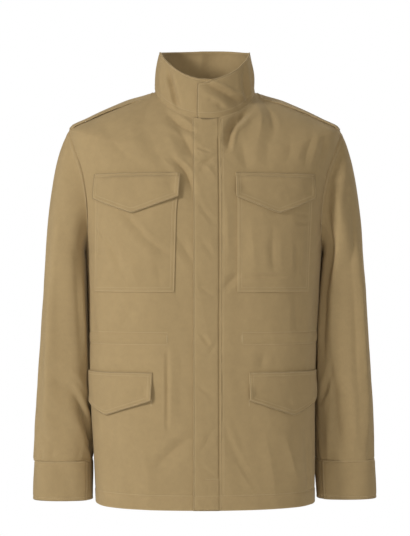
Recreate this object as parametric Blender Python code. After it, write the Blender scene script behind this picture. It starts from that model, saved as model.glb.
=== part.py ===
"""Field jacket in cotton twill, filled out as worn with nobody inside it.

Frame: metres, +Z up, the front faces -Y and the wearer's left is +X. The origin is the middle of
the neck, level with the tops of the shoulder seams, where the wearer holds the jacket up.

The torso is one form: rings that run from the neck, over the shoulders, down to the hem. A point of
it is named by an angle (0 at the centre front, 90 at the wearer's left side, 180 at the centre back)
and by the height of its ring at the side. Fronts and back are strips of that form, the sleeves are
lofts from the armholes to the cuffs, and what lies on a panel is made from that panel's own points,
moved out. Every piece is a sheet with an outer and an inner skin, lofted between them. Where two
panels meet they share the same normals, so their seam faces stay parallel and SEAM_GAP apart.
"""

from collections import namedtuple

import bpy
import numpy as np

# Cloth and seams
CLOTH = 0.0016
DOUBLE_CLOTH = 0.0022
SEAM_GAP = 0.00036
LIFT = 0.0005
BRIDGE_LIFT = 0.0008

# Heights, given as the height of a ring at the side of the torso
NECK = 0.0
SHOULDER_POINT = -0.069
CHEST_FLAP_TOP = -0.1475
CHEST_FLAP_SIDE = -0.187
CHEST_FLAP_POINT = -0.215
ARMPIT = -0.280
CHEST_POCKET_FOOT = -0.347
HIP_FLAP_TOP = -0.482
HIP_FLAP_SIDE = -0.5255
HIP_FLAP_POINT = -0.5555
HEM = -0.712

# Widths
PLACKET_HALF = 0.0245
FLAP_OVERHANG = 0.0020
FLAP_CORNER = 0.08
EPAULETTE_HALF = 0.025
CUFF_DEPTH = 0.069
SLEEVE_RADIUS = 0.055
CUFF_EASE = 0.001
LAP_STEP = 0.0026
LAP_FADE = 60.0

# How far the armhole cuts in from the side line, in degrees of the ring
ARMHOLE_FRONT = 22.0
ARMHOLE_BACK = 25.0

Ring = namedtuple("Ring", "height right left front front_z back back_z square dip")
# Half widths to the wearer's right and left, depths to the front and back, the heights that the
# ring has at the centre front and back, how square its outline is (2 is an ellipse), and how it dips
# from the sides to those heights, as a power of the cosine.
TORSO_RINGS = (
    Ring(NECK, 0.087, 0.087, 0.086, -0.053, 0.078, 0.012, 2.0, 1.3),
    Ring(-0.017, 0.132, 0.132, 0.091, -0.070, 0.088, -0.004, 2.0, 1.6),
    Ring(-0.048, 0.2006, 0.2006, 0.099, -0.095, 0.101, -0.030, 2.1, 2.0),
    Ring(SHOULDER_POINT, 0.237, 0.237, 0.104, -0.110, 0.107, -0.050, 2.15, 2.0),
    Ring(CHEST_FLAP_TOP, 0.225, 0.2215, 0.119, CHEST_FLAP_TOP, 0.1325, CHEST_FLAP_TOP, 2.3, 2.0),
    Ring(CHEST_FLAP_POINT, 0.2145, 0.2085, 0.1345, CHEST_FLAP_POINT, 0.1345, CHEST_FLAP_POINT, 2.4, 2.0),
    Ring(ARMPIT, 0.2075, 0.2025, 0.137, ARMPIT, 0.130, ARMPIT, 2.5, 2.0),
    Ring(CHEST_POCKET_FOOT, 0.2035, 0.1975, 0.134, CHEST_POCKET_FOOT, 0.123, CHEST_POCKET_FOOT, 2.5, 2.0),
    Ring(-0.420, 0.2018, 0.1945, 0.128, -0.420, 0.115, -0.420, 2.5, 2.0),
    Ring(-0.500, 0.2008, 0.1925, 0.132, -0.500, 0.117, -0.500, 2.5, 2.0),
    Ring(-0.600, 0.1955, 0.1915, 0.134, -0.600, 0.121, -0.600, 2.5, 2.0),
    Ring(HEM, 0.190, 0.191, 0.135, HEM, 0.125, HEM, 2.5, 2.0),
)

# The heights of the panels' rows. Pocket and flap edges fall on rows, so they keep the same facets.
ROWS = (
    NECK, -0.007, -0.017, -0.032, -0.050, SHOULDER_POINT,
    -0.075, -0.090, -0.115, CHEST_FLAP_TOP, -0.167, CHEST_FLAP_SIDE, CHEST_FLAP_POINT,
    -0.240, -0.261, -0.274, ARMPIT,
    -0.310, CHEST_POCKET_FOOT, -0.380, -0.414, -0.448, HIP_FLAP_TOP, HIP_FLAP_SIDE,
    HIP_FLAP_POINT, -0.605, -0.658, HEM,
)

Station = namedtuple("Station", "height inner point outer")
# Where the inner edge, the point and the outer edge of the pockets lie, measured round the body
# from the centre front. The columns of each front run through them.
STATIONS = {
    "right": (
        Station(NECK, 0.041, 0.070, 0.100),
        Station(SHOULDER_POINT, 0.046, 0.118, 0.190),
        Station(CHEST_FLAP_TOP, 0.047, 0.1225, 0.197),
        Station(CHEST_FLAP_POINT, 0.0530, 0.127, 0.202),
        Station(CHEST_POCKET_FOOT, 0.0563, 0.134, 0.2125),
        Station(HIP_FLAP_TOP, 0.0930, 0.180, 0.2665),
        Station(HIP_FLAP_POINT, 0.0960, 0.1830, 0.2665),
        Station(HEM, 0.0960, 0.1800, 0.2560),
    ),
    "left": (
        Station(NECK, 0.041, 0.070, 0.100),
        Station(SHOULDER_POINT, 0.047, 0.118, 0.184),
        Station(CHEST_FLAP_TOP, 0.049, 0.1215, 0.190),
        Station(CHEST_FLAP_POINT, 0.0495, 0.1205, 0.189),
        Station(CHEST_POCKET_FOOT, 0.0492, 0.118, 0.186),
        Station(HIP_FLAP_TOP, 0.0695, 0.1510, 0.2330),
        Station(HIP_FLAP_POINT, 0.0701, 0.1515, 0.2330),
        Station(HEM, 0.0701, 0.1515, 0.2330),
    ),
}
# The columns of a front: the centre front, the placket's edge, the pocket's inner edge, point and
# outer edge with HALF_POCKET_CELLS cells between them, and two lines beside the side seam.
HALF_POCKET_CELLS = 3
PLACKET_EDGE = 1
INNER = 2
POINT = INNER + HALF_POCKET_CELLS
OUTER = POINT + HALF_POCKET_CELLS
# The middle of the back, in cells between the two lines beside each of its side seams
BACK_CELLS = 12
# The two lines beside a side seam, which are also those of the epaulette above the shoulder point
BESIDE_SEAM = (EPAULETTE_HALF, EPAULETTE_HALF / 2)

Fold = namedtuple("Fold", "across_a height_a across_b height_b width depth")
# The largest folds of the fronts and back, from point a to point b. Distances are round the body
# from the centre front, or from the centre back, with the wearer's left positive. A depth below 0
# is a trough.
FRONT_FOLDS = (
    Fold(0.070, -0.020, 0.028, -0.125, 0.016, -0.0050),
    Fold(0.085, -0.010, 0.070, -0.145, 0.022, 0.0040),
    Fold(-0.078, -0.020, -0.020, -0.085, 0.020, -0.0035),
    Fold(-0.052, -0.060, -0.022, -0.175, 0.020, -0.0035),
    Fold(0.150, -0.060, 0.120, -0.140, 0.024, -0.0030),
    Fold(-0.205, -0.085, -0.150, -0.135, 0.024, -0.0030),
    Fold(-0.067, -0.400, -0.067, -0.560, 0.020, -0.0025),
    Fold(0.036, -0.570, 0.085, -0.690, 0.026, -0.0035),
    Fold(0.105, -0.580, 0.165, -0.700, 0.030, 0.0040),
    Fold(-0.060, -0.600, -0.028, -0.560, 0.026, -0.0025),
)
BACK_FOLDS = (
    Fold(-0.150, -0.120, -0.090, -0.240, 0.030, -0.0040),
    Fold(0.160, -0.115, 0.100, -0.235, 0.028, -0.0040),
    Fold(-0.060, -0.360, -0.080, -0.520, 0.026, 0.0030),
    Fold(0.075, -0.370, 0.050, -0.560, 0.028, -0.0035),
    Fold(-0.130, -0.520, -0.110, -0.690, 0.030, -0.0035),
    Fold(0.140, -0.540, 0.155, -0.700, 0.030, 0.0035),
)

SleeveRing = namedtuple("SleeveRing", "height inner_right inner_left outer middle half_depth square")
# How far the inner and outer sides of each ring lie from the centre of the jacket, and how far its
# middle lies behind the side seam. The upper arm hangs a little behind the side of the torso.
SLEEVE_RINGS = (
    SleeveRing(-0.300, 0.2093, 0.2047, 0.2780, 0.020, 0.080, 2.2),
    SleeveRing(-0.360, 0.2062, 0.2000, 0.2830, 0.026, 0.071, 2.2),
    SleeveRing(-0.430, 0.2034, 0.1966, 0.2870, 0.028, 0.063, 2.2),
    SleeveRing(-0.550, 0.2000, 0.1950, 0.2945, 0.024, 0.055, 2.2),
    SleeveRing(-0.640, 0.1968, 0.1950, 0.2975, 0.013, 0.046, 2.2),
    SleeveRing(-0.708, 0.1935, 0.1945, 0.2992, 0.003, 0.040, 2.2),
)
SLEEVE_TOP_RING = SLEEVE_RINGS[0].height
CUFF_FOOT = SLEEVE_RINGS[-1].height
CUFF_TOP = CUFF_FOOT + CUFF_DEPTH
CAP_ROWS = 5
ARM_ROWS = (-0.335, -0.375, -0.420, -0.460, -0.500, -0.545, -0.590, CUFF_TOP + SEAM_GAP)

Leave = namedtuple("Leave", "side out forward down reach")
# The way the sleeve leaves the armhole at its top, front, underarm and back, as a Hermite tangent,
# and the length of the tangent with which it arrives at the first ring
SLEEVE_LEAVES = (
    Leave("top", 0.090, 0.0, 0.150, 0.240),
    Leave("front", 0.064, 0.028, 0.075, 0.170),
    Leave("under", 0.020, 0.0, 0.002, 0.022),
    Leave("back", 0.050, -0.060, 0.075, 0.170),
)

SleeveFold = namedtuple("SleeveFold", "turn_a height_a turn_b height_b width depth")
# The largest folds of the sleeves. The turn runs in degrees from the outside (0) over the front
# (90) to the underarm (180).
SLEEVE_FOLDS = {
    "right": (
        SleeveFold(95, -0.515, 165, -0.625, 0.016, -0.0050),
        SleeveFold(60, -0.200, 130, -0.330, 0.022, -0.0035),
        SleeveFold(300, -0.300, 250, -0.420, 0.024, -0.0040),
        SleeveFold(250, -0.480, 210, -0.600, 0.020, -0.0040),
    ),
    "left": (
        SleeveFold(120, -0.200, 105, -0.430, 0.020, 0.0035),
        SleeveFold(85, -0.260, 95, -0.560, 0.020, -0.0040),
        SleeveFold(290, -0.280, 245, -0.400, 0.024, -0.0040),
        SleeveFold(240, -0.470, 215, -0.590, 0.020, -0.0040),
    ),
}

COLLAR_RIM = Ring(0.070, 0.079, 0.079, 0.078, 0.015, 0.074, 0.082, 2.0, 1.5)

# The collar's upper end lies to the wearer's right of the centre front, and its lower end has
# passed beneath to the wearer's left.
COLLAR_UPPER_END = 0.0177
COLLAR_LOWER_END = 0.020

Lap = namedtuple("Lap", "end sweep")
# Where the cuff's upper end lies, and how far the band runs round from there until its other end
# has passed beneath, in degrees
CUFF_LAP = Lap(139.0, -402.0)
CUFF_CELLS = 26
BAND_ROWS = 2

# The epaulettes' rows, and the rows where their five lines end near the collar
STRAP_ROWS = (2.0, 3.0, 4.0, 4.85)
STRAP_END_ROWS = (1.6, 1.45, 1.3, 1.45, 1.6)
# How far down its first cell the mouth of a chest pocket lies under the flap, and the placket's
# upper edge below the collar
POCKET_MOUTH = 0.5
PLACKET_TOP = 0.25

Finish = namedtuple("Finish", "colour roughness")
TWILL = Finish((0.40, 0.31, 0.16), 0.85)
TWILL_DOUBLE = Finish((0.37, 0.28, 0.14), 0.85)
SHARP_ANGLE = 40.0

COLLECTION = "field_jacket"
SIDES = ("right", "left")


# Interpolation


def smooth_column(rows, field, at):
    """A column of a table read at other heights: a monotone cubic through the rows."""
    x = -np.array([row.height for row in rows])
    y = np.array([getattr(row, field) for row in rows])
    step = np.diff(x)
    slope = np.diff(y) / step
    before, after = slope[:-1], slope[1:]
    turning = before * after <= 0
    weight_before = step[:-1] + 2 * step[1:]
    weight_after = 2 * step[:-1] + step[1:]
    share = weight_before / np.where(turning, 1.0, before) + weight_after / np.where(turning, 1.0, after)
    inner = np.where(turning, 0.0, (weight_before + weight_after) / np.where(turning, 1.0, share))
    tangent = np.concatenate([slope[:1], inner, slope[-1:]])
    depth = -np.asarray(at, float)
    cell = np.clip(np.searchsorted(x, depth) - 1, 0, len(step) - 1)
    t = (depth - x[cell]) / step[cell]
    start = y[cell] * (2 * t**3 - 3 * t**2 + 1) + step[cell] * tangent[cell] * (t**3 - 2 * t**2 + t)
    end = y[cell + 1] * (3 * t**2 - 2 * t**3) + step[cell] * tangent[cell + 1] * (t**3 - t**2)
    return start + end


def unit(vectors):
    return vectors / np.linalg.norm(vectors, axis=-1, keepdims=True)


def power(value, exponent):
    """A signed power, which bends a circle's sine and cosine into a squarer outline."""
    return np.sign(value) * np.abs(value) ** exponent


def crease_depth(folds, across, height):
    """How far the folds lift the cloth: each fades to both sides of its line and past its ends."""
    total = np.zeros(np.broadcast(across, height).shape)
    for fold in folds:
        run = np.array([fold.across_b - fold.across_a, fold.height_b - fold.height_a])
        length = np.linalg.norm(run)
        run = run / length
        over, down = across - fold.across_a, height - fold.height_a
        along = over * run[0] + down * run[1]
        aside = over * run[1] - down * run[0]
        share = np.clip(along / length, 0.0, 1.0)
        taper = np.sin(np.pi * (0.12 + 0.76 * share))
        past = along - share * length
        total += fold.depth * taper * np.exp(-(aside**2 + past**2) / fold.width**2)
    return total


# The torso's form


def ring_point(degrees, ring):
    """A point of one ring, or of as many rings as there are angles: a squared ellipse that dips."""
    sine, cosine = np.sin(np.radians(degrees)), np.cos(np.radians(degrees))
    width = np.where(sine >= 0, ring.left, ring.right)
    depth = np.where(cosine >= 0, ring.front, ring.back)
    middle_z = np.where(cosine >= 0, ring.front_z, ring.back_z)
    x = width * power(sine, 2 / ring.square)
    y = -depth * power(cosine, 2 / ring.square)
    z = ring.height + (middle_z - ring.height) * np.abs(cosine) ** ring.dip
    return np.stack(np.broadcast_arrays(x, y, z), axis=-1)


def torso_point(degrees, height):
    fields = {field: smooth_column(TORSO_RINGS, field, height) for field in Ring._fields[1:]}
    return ring_point(degrees, Ring(np.asarray(height, float), **fields))


def torso_normal(degrees, height):
    """The outward normal, from the form a little to each side."""
    turn, drop = 1.0, 0.002
    up = np.minimum(height + drop, NECK)
    down = np.maximum(height - drop, HEM)
    across = torso_point(degrees + turn, height) - torso_point(degrees - turn, height)
    along = torso_point(degrees, up) - torso_point(degrees, down)
    return unit(np.cross(across, along))


def armhole_cut(height, deepest):
    """How far the armhole cuts in from the side line: half an ellipse from shoulder to armpit."""
    share = np.clip((height - SHOULDER_POINT) / (ARMPIT - SHOULDER_POINT), 0.0, 1.0)
    return deepest * 2 * np.sqrt(share * (1 - share))


def measured_ring(start, end, height):
    """Angles from start to end on a ring, with the distance run at each."""
    angles = np.linspace(start, end, 600)
    points = torso_point(angles, np.full(angles.shape, height))
    steps = np.linalg.norm(np.diff(points, axis=0), axis=1)
    return angles, np.concatenate([[0.0], np.cumsum(steps)])


class Panel:
    """A grid of points with their normals. Rows run down and columns run across."""

    def __init__(self, points, normals):
        self.points = np.array(points)
        self.normals = unit(np.array(normals))

    def sample(self, rows, columns, lift):
        """Points at fractions of rows and columns, moved out by lift."""
        rows, columns, lift = np.broadcast_arrays(rows, columns, lift)
        row = np.clip(np.floor(rows).astype(int), 0, self.points.shape[0] - 2)
        column = np.clip(np.floor(columns).astype(int), 0, self.points.shape[1] - 2)
        down, over = (rows - row)[..., None], (columns - column)[..., None]

        def mixed(grid):
            top = grid[row, column] * (1 - over) + grid[row, column + 1] * over
            foot = grid[row + 1, column] * (1 - over) + grid[row + 1, column + 1] * over
            return top * (1 - down) + foot * down

        return mixed(self.points) + lift[..., None] * unit(mixed(self.normals))


def beside_seam(room):
    """The distances of the two lines beside a seam, closer where there is little room."""
    return [min(distance, room * share) for distance, share in zip(BESIDE_SEAM, (2 / 3, 1 / 3))]


def front_lines(side, height, edge):
    """The columns of a front on one ring, as distances from the centre front."""
    stations = STATIONS[side]
    depths = [-station.height for station in stations]
    inner, point, outer = (
        np.interp(-height, depths, [getattr(station, field) for station in stations])
        for field in ("inner", "point", "outer")
    )
    far, near = beside_seam(edge - outer)
    return np.concatenate([
        [SEAM_GAP / 2, PLACKET_HALF],
        np.linspace(inner, point, HALF_POCKET_CELLS + 1)[:-1],
        np.linspace(point, outer, HALF_POCKET_CELLS + 1),
        [edge - far, edge - near, edge],
    ])


def front_panel(side, seam_normals):
    """A front, from the centre to the side seam, with the armhole cut out of its edge."""
    sign = 1 if side == "left" else -1
    points, normals = [], []
    for height in ROWS:
        side_line = sign * (90.0 - armhole_cut(height, ARMHOLE_FRONT))
        angles, run = measured_ring(0.0, side_line, height)
        lines = front_lines(side, height, run[-1] - SEAM_GAP / 2)
        turned = np.interp(lines, run, angles)
        level = np.full(turned.shape, height)
        normal = torso_normal(turned, level)
        normal[-1] = seam_normals.get(("front", height), normal[-1])
        lift = crease_depth(FRONT_FOLDS, sign * lines, level)
        points.append(torso_point(turned, level) + lift[:, None] * normal)
        normals.append(normal)
    return Panel(points, normals)


def back_panel(seam_normals):
    """The back, from the wearer's left side seam round to the right one."""
    points, normals = [], []
    for height in ROWS:
        cut = armhole_cut(height, ARMHOLE_BACK)
        angles, run = measured_ring(90.0 + cut, 270.0 - cut, height)
        first, last = SEAM_GAP / 2, run[-1] - SEAM_GAP / 2
        far, near = beside_seam((last - first) / 2)
        middle = np.linspace(first + far, last - far, BACK_CELLS + 1)
        lines = np.concatenate([[first, first + near], middle, [last - near, last]])
        turned = np.interp(lines, run, angles)
        level = np.full(turned.shape, height)
        normal = torso_normal(turned, level)
        normal[0] = seam_normals["left"].get(("back", height), normal[0])
        normal[-1] = seam_normals["right"].get(("back", height), normal[-1])
        centre = np.interp(180.0, angles, run)
        lift = crease_depth(BACK_FOLDS, centre - lines, level)
        points.append(torso_point(turned, level) + lift[:, None] * normal)
        normals.append(normal)
    return Panel(points, normals)


# The sleeves


def armhole_loop(side):
    """Turns, seam names, heights, points and normals round an armhole, from the shoulder point."""
    sign = 1 if side == "left" else -1
    heights = [height for height in ROWS if ARMPIT <= height <= SHOULDER_POINT]
    loop = [("front", height) for height in heights] + [("back", height) for height in heights[-2:0:-1]]
    level = np.array([height for _, height in loop])
    on_front = np.array([panel == "front" for panel, _ in loop])
    share = (level - SHOULDER_POINT) / (ARMPIT - SHOULDER_POINT)
    half_turn = np.degrees(np.arccos(1 - 2 * share))
    turns = np.where(on_front, half_turn, 360.0 - half_turn)
    front_angle = 90.0 - armhole_cut(level, ARMHOLE_FRONT)
    back_angle = 90.0 + armhole_cut(level, ARMHOLE_BACK)
    angles = sign * np.where(on_front, front_angle, back_angle)
    return turns, loop, torso_point(angles, level), torso_normal(angles, level)


def sleeve_ring_point(side, turns, height):
    """A point of the hanging sleeve: a squared ellipse between its inner and outer sides."""
    sign = 1 if side == "left" else -1
    column = {field: smooth_column(SLEEVE_RINGS, field, height) for field in SleeveRing._fields[1:]}
    inner = column["inner_" + side]
    sine, cosine = np.sin(np.radians(turns)), np.cos(np.radians(turns))
    exponent = 2 / column["square"]
    x = (column["outer"] + inner) / 2 + (column["outer"] - inner) / 2 * power(cosine, exponent)
    y = column["middle"] - column["half_depth"] * power(sine, exponent)
    return np.stack(np.broadcast_arrays(sign * x, y, height), axis=-1)


def leave_weights(turns):
    """How much of the top, front, underarm and back tangents a turn takes. They add up to 1."""
    sine, cosine = np.sin(np.radians(turns)), np.cos(np.radians(turns))
    beside = sine**2 / 2
    return np.stack([
        ((1 + cosine) / 2) ** 2,
        np.where(sine > 0, beside, 0.0),
        ((1 - cosine) / 2) ** 2,
        np.where(sine > 0, 0.0, beside),
    ], axis=-1)


def sleeve_panel(side):
    """The sleeve's outer skin: Hermite curves from the armhole to the first ring, then the rings."""
    sign = 1 if side == "left" else -1
    turns, _, loop, _ = armhole_loop(side)
    weights = leave_weights(turns)
    leave = weights @ np.array([[sign * row.out, -row.forward, -row.down] for row in SLEEVE_LEAVES])
    reach = weights @ np.array([row.reach for row in SLEEVE_LEAVES])
    first = sleeve_ring_point(side, turns, SLEEVE_TOP_RING)
    below = sleeve_ring_point(side, turns, ARM_ROWS[0])
    arrive = reach[:, None] * unit(below - first)
    start = loop + SEAM_GAP / 2 * unit(leave)
    rows = []
    for t in np.linspace(0.0, 1.0, CAP_ROWS + 1):
        from_seam = start * (2 * t**3 - 3 * t**2 + 1) + leave * (t**3 - 2 * t**2 + t)
        to_ring = first * (3 * t**2 - 2 * t**3) + arrive * (t**3 - t**2)
        rows.append(from_seam + to_ring)
    rows.extend(sleeve_ring_point(side, turns, height) for height in ARM_ROWS)
    points = np.array(rows)
    around = np.roll(points, -1, axis=1) - np.roll(points, 1, axis=1)
    down = np.gradient(points, axis=0)
    normals = sign * unit(np.cross(around, down))
    folds = [
        Fold(turn_length(fold.turn_a), fold.height_a, turn_length(fold.turn_b), fold.height_b,
             fold.width, fold.depth)
        for fold in SLEEVE_FOLDS[side]
    ]
    lift = crease_depth(folds, turn_length(turns), points[..., 2])
    return Panel(points + lift[..., None] * normals, normals)


def turn_length(degrees):
    """A turn round the sleeve as a distance, at its mean radius."""
    return np.radians(degrees) * SLEEVE_RADIUS


def share_armhole_normals(side, sleeve):
    """Normals for the armhole's seam. Panel and sleeve take the same one at the top of the
    shoulder, where the seam is a ridge and their walls would otherwise cross."""
    turns, loop, _, torso_normals = armhole_loop(side)
    ridge = np.clip(np.cos(np.radians(turns)), 0.0, 1.0)[:, None]
    sleeve_normals = sleeve.normals[0].copy()
    sleeve.normals[0] = unit(sleeve_normals + ridge * torso_normals)
    panel_normals = unit(torso_normals + ridge * sleeve_normals)
    return dict(zip(loop, panel_normals)) | {("back", SHOULDER_POINT): panel_normals[0]}


# Solids


def cloth_material(name, finish):
    made = bpy.data.materials.new(name)
    made.use_nodes = True
    shader = made.node_tree.nodes["Principled BSDF"]
    shader.inputs["Base Color"].default_value = (*finish.colour, 1.0)
    shader.inputs["Roughness"].default_value = finish.roughness
    shader.inputs["Metallic"].default_value = 0.0
    return made


def skin_faces(grid):
    """The triangles of a grid of point numbers, all cut along the same diagonal, so that a piece
    laid on a panel has the panel's own facets."""
    first = np.stack([grid[:-1, :-1], grid[:-1, 1:], grid[1:, 1:]], axis=-1)
    second = np.stack([grid[:-1, :-1], grid[1:, 1:], grid[1:, :-1]], axis=-1)
    return np.concatenate([first.reshape(-1, 3), second.reshape(-1, 3)])


def edge_faces(edge, inward):
    """The triangles that close a sheet's edge, from the outer skin's points to the inner skin's."""
    first = np.stack([edge[1:], edge[:-1], edge[:-1] + inward], axis=-1)
    second = np.stack([edge[1:], edge[:-1] + inward, edge[1:] + inward], axis=-1)
    return np.concatenate([first, second])


def enclosed_volume(points, faces):
    """The volume inside the faces, below 0 where they point inwards."""
    a, b, c = (points[faces[:, corner]] for corner in range(3))
    return np.sum(a * np.cross(b, c)) / 6


def sheet(name, outer, inner, finish, tube=False):
    """A sheet lofted between an outer and an inner grid of points, with its edges closed. A tube's
    last column joins its first."""
    rows, columns = outer.shape[:2]
    grid = np.arange(rows * columns).reshape(rows, columns)
    if tube:
        grid = np.concatenate([grid, grid[:, :1]], axis=1)
        edges = [grid[0], grid[-1, ::-1]]
    else:
        edges = [np.concatenate([grid[0], grid[1:, -1], grid[-1, -2::-1], grid[-2::-1, 0]])]
    inward = rows * columns
    skin = skin_faces(grid)
    walls = [edge_faces(edge, inward) for edge in edges]
    faces = np.concatenate([skin, skin[:, ::-1] + inward, *walls])
    points = np.concatenate([outer.reshape(-1, 3), inner.reshape(-1, 3)])
    if enclosed_volume(points, faces) < 0:
        faces = faces[:, ::-1]
    mesh = bpy.data.meshes.new(name)
    mesh.from_pydata(points.tolist(), [], faces.tolist())
    mesh.shade_smooth()
    mesh.set_sharp_from_angle(angle=np.radians(SHARP_ANGLE))
    mesh.materials.append(cloth_material(name + "_cloth", finish))
    piece = bpy.data.objects.new(name, mesh)
    bpy.data.collections[COLLECTION].objects.link(piece)
    return piece


def cut_panel(name, panel, tube=False):
    """A panel of the garment: its points are the outer skin."""
    return sheet(name, panel.points, panel.points - CLOTH * panel.normals, TWILL, tube)


def laid_piece(name, sample, lift, thickness, finish=TWILL):
    """A piece that lies on a panel, made from the panel's points moved out."""
    return sheet(name, sample(lift + thickness), sample(lift), finish)


def placket(fronts):
    """The fly: a doubled strip over the centre front, from the neck seam to the hem."""
    rows = np.concatenate([[PLACKET_TOP], np.arange(1, len(ROWS))])

    def sample(lift):
        edges = [fronts[side].sample(rows, PLACKET_EDGE, lift) for side in ("right", "left")]
        meeting = [fronts[side].sample(rows, 0, lift) for side in ("right", "left")]
        return np.stack([edges[0], sum(meeting) / 2, edges[1]], axis=1)

    return laid_piece("placket", sample, BRIDGE_LIFT, DOUBLE_CLOTH, TWILL_DOUBLE)


def chest_pocket(side, panel):
    """A patch pocket, whose mouth lies hidden under its flap."""
    top, foot = ROWS.index(CHEST_FLAP_TOP), ROWS.index(CHEST_POCKET_FOOT)
    rows = np.concatenate([[top + POCKET_MOUTH], np.arange(top + 1, foot + 1)])[:, None]
    columns = np.arange(INNER, OUTER + 1)[None, :]
    return laid_piece(
        "chest_pocket_" + side, lambda lift: panel.sample(rows, columns, lift), LIFT, CLOTH
    )


def flap_edge(columns):
    """How far the flap's lower edge has dropped at each column, from 0 at its corners to 1."""
    drop = 1 - np.abs(np.clip(columns, INNER, OUTER) - POINT) / HALF_POCKET_CELLS
    return FLAP_CORNER + (1 - FLAP_CORNER) * drop


def chest_flap(side, panel):
    """A pointed flap. It is sewn down above the pocket's mouth and lies over the pocket."""
    top, corner = ROWS.index(CHEST_FLAP_TOP), ROWS.index(CHEST_FLAP_SIDE)
    first = panel.points[top]
    inner_cell = np.linalg.norm(first[INNER] - first[INNER - 1])
    outer_cell = np.linalg.norm(first[OUTER + 1] - first[OUTER])
    columns = np.concatenate([
        [INNER - FLAP_OVERHANG / inner_cell],
        np.arange(INNER, OUTER + 1),
        [OUTER + FLAP_OVERHANG / outer_cell],
    ])
    level_rows = (top, top + POCKET_MOUTH / 2, top + POCKET_MOUTH * 0.9, top + 1, corner)
    over_pocket = CLOTH + LIFT
    steps = np.array([0.0, 0.0, over_pocket, over_pocket, over_pocket, over_pocket])[:, None]
    rows = np.array([np.full(columns.shape, float(row)) for row in level_rows]
                    + [corner + flap_edge(columns)])
    return laid_piece(
        "chest_flap_" + side,
        lambda lift: panel.sample(rows, columns[None, :], lift + steps),
        LIFT, DOUBLE_CLOTH, TWILL_DOUBLE,
    )


def hip_flap(side, panel):
    """A pointed flap over the mouth of an inside pocket."""
    top, corner = ROWS.index(HIP_FLAP_TOP), ROWS.index(HIP_FLAP_SIDE)
    columns = np.arange(INNER, OUTER + 1)
    rows = np.array([np.full(columns.shape, float(row)) for row in (top, corner)]
                    + [corner + flap_edge(columns)])
    return laid_piece(
        "hip_flap_" + side,
        lambda lift: panel.sample(rows, columns[None, :], lift),
        LIFT, DOUBLE_CLOTH, TWILL_DOUBLE,
    )


def epaulette(side, front, back):
    """A strap along the shoulder seam, from the armhole to a blunt point near the collar."""
    rows = np.array([STRAP_END_ROWS] + [[row] * len(STRAP_END_ROWS) for row in STRAP_ROWS])
    front_columns = front.points.shape[1] - np.array([3, 2, 1])
    steps_in = np.arange(3)
    back_columns = steps_in if side == "left" else back.points.shape[1] - 1 - steps_in

    def sample(lift):
        before = front.sample(rows[:, :3], front_columns[None, :], lift)
        behind = back.sample(rows[:, 2:], back_columns[None, :], lift)
        seam = (before[:, -1:] + behind[:, :1]) / 2
        return np.concatenate([before[:, :-1], seam, behind[:, 1:]], axis=1)

    return laid_piece("epaulette_" + side, sample, BRIDGE_LIFT, DOUBLE_CLOTH, TWILL_DOUBLE)


def lapped_band(name, foot, rim, outward, run):
    """A band between two lines of points. It starts on top of its own other end, and comes down
    to the seam line as the run from its start grows."""
    shares = np.linspace(0.0, 1.0, BAND_ROWS + 1)[:, None, None]
    points = foot * (1 - shares) + rim * shares
    around = np.gradient(points, axis=1)
    normals = unit(np.cross(around, rim - foot))
    normals *= np.sign(np.sum(normals * outward, axis=-1, keepdims=True))
    near_start = np.clip(1 - run / LAP_FADE, 0.0, 1.0)
    step = LAP_STEP * near_start**2 * (3 - 2 * near_start)
    outer = points + step[:, None] * normals
    return sheet(name, outer, outer - DOUBLE_CLOTH * normals, TWILL_DOUBLE)


def collar(fronts, back):
    """A tall stand collar on the panels' own neckline, lapped left over right at the front."""
    lines = {side: fronts[side].points[0] for side in fronts}
    meeting = (lines["left"][0] + lines["right"][0]) / 2

    def along_front(side, distance):
        """A point between the centre front and the placket's edge."""
        return meeting + (lines[side][PLACKET_EDGE] - meeting) * distance / PLACKET_HALF

    back_line = back.points[0]
    neckline = np.array([
        along_front("right", COLLAR_UPPER_END),
        meeting,
        *lines["left"][PLACKET_EDGE:-1],
        (lines["left"][-1] + back_line[0]) / 2,
        *back_line[1:-1],
        (back_line[-1] + lines["right"][-1]) / 2,
        *lines["right"][-2:PLACKET_EDGE - 1:-1],
        meeting,
        along_front("left", COLLAR_LOWER_END),
    ])
    neck = TORSO_RINGS[0]
    depth = np.where(neckline[:, 1] < 0, neck.front, neck.back)
    angles = np.degrees(np.arctan2(neckline[:, 0] / neck.left, -neckline[:, 1] / depth))
    angles = np.degrees(np.unwrap(np.radians(angles)))
    rim = ring_point(angles, COLLAR_RIM)
    outward = neckline * np.array([1.0, 1.0, 0.0])
    foot = neckline + np.array([0.0, 0.0, SEAM_GAP])
    return lapped_band("collar", foot, rim, outward, angles - angles[0])


def cuff(side):
    """A doubled band that closes on the inner front of the wrist."""
    turns = CUFF_LAP.end + np.linspace(0.0, CUFF_LAP.sweep, CUFF_CELLS + 1)
    foot = sleeve_ring_point(side, turns, CUFF_FOOT)
    rim = sleeve_ring_point(side, turns, CUFF_TOP)
    outward = foot - foot.mean(axis=0)
    outward = outward * np.array([1.0, 1.0, 0.0])
    eased_foot, eased_rim = foot + CUFF_EASE * unit(outward), rim + CUFF_EASE * unit(outward)
    return lapped_band("cuff_" + side, eased_foot, eased_rim, outward, np.abs(turns - turns[0]))


# The jacket

for leftover in list(bpy.data.objects):
    bpy.data.objects.remove(leftover, do_unlink=True)
bpy.context.scene.collection.children.link(bpy.data.collections.new(COLLECTION))

sleeves = {side: sleeve_panel(side) for side in SIDES}
armhole_normals = {side: share_armhole_normals(side, sleeves[side]) for side in SIDES}
fronts = {side: front_panel(side, armhole_normals[side]) for side in SIDES}
back = back_panel(armhole_normals)

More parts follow.
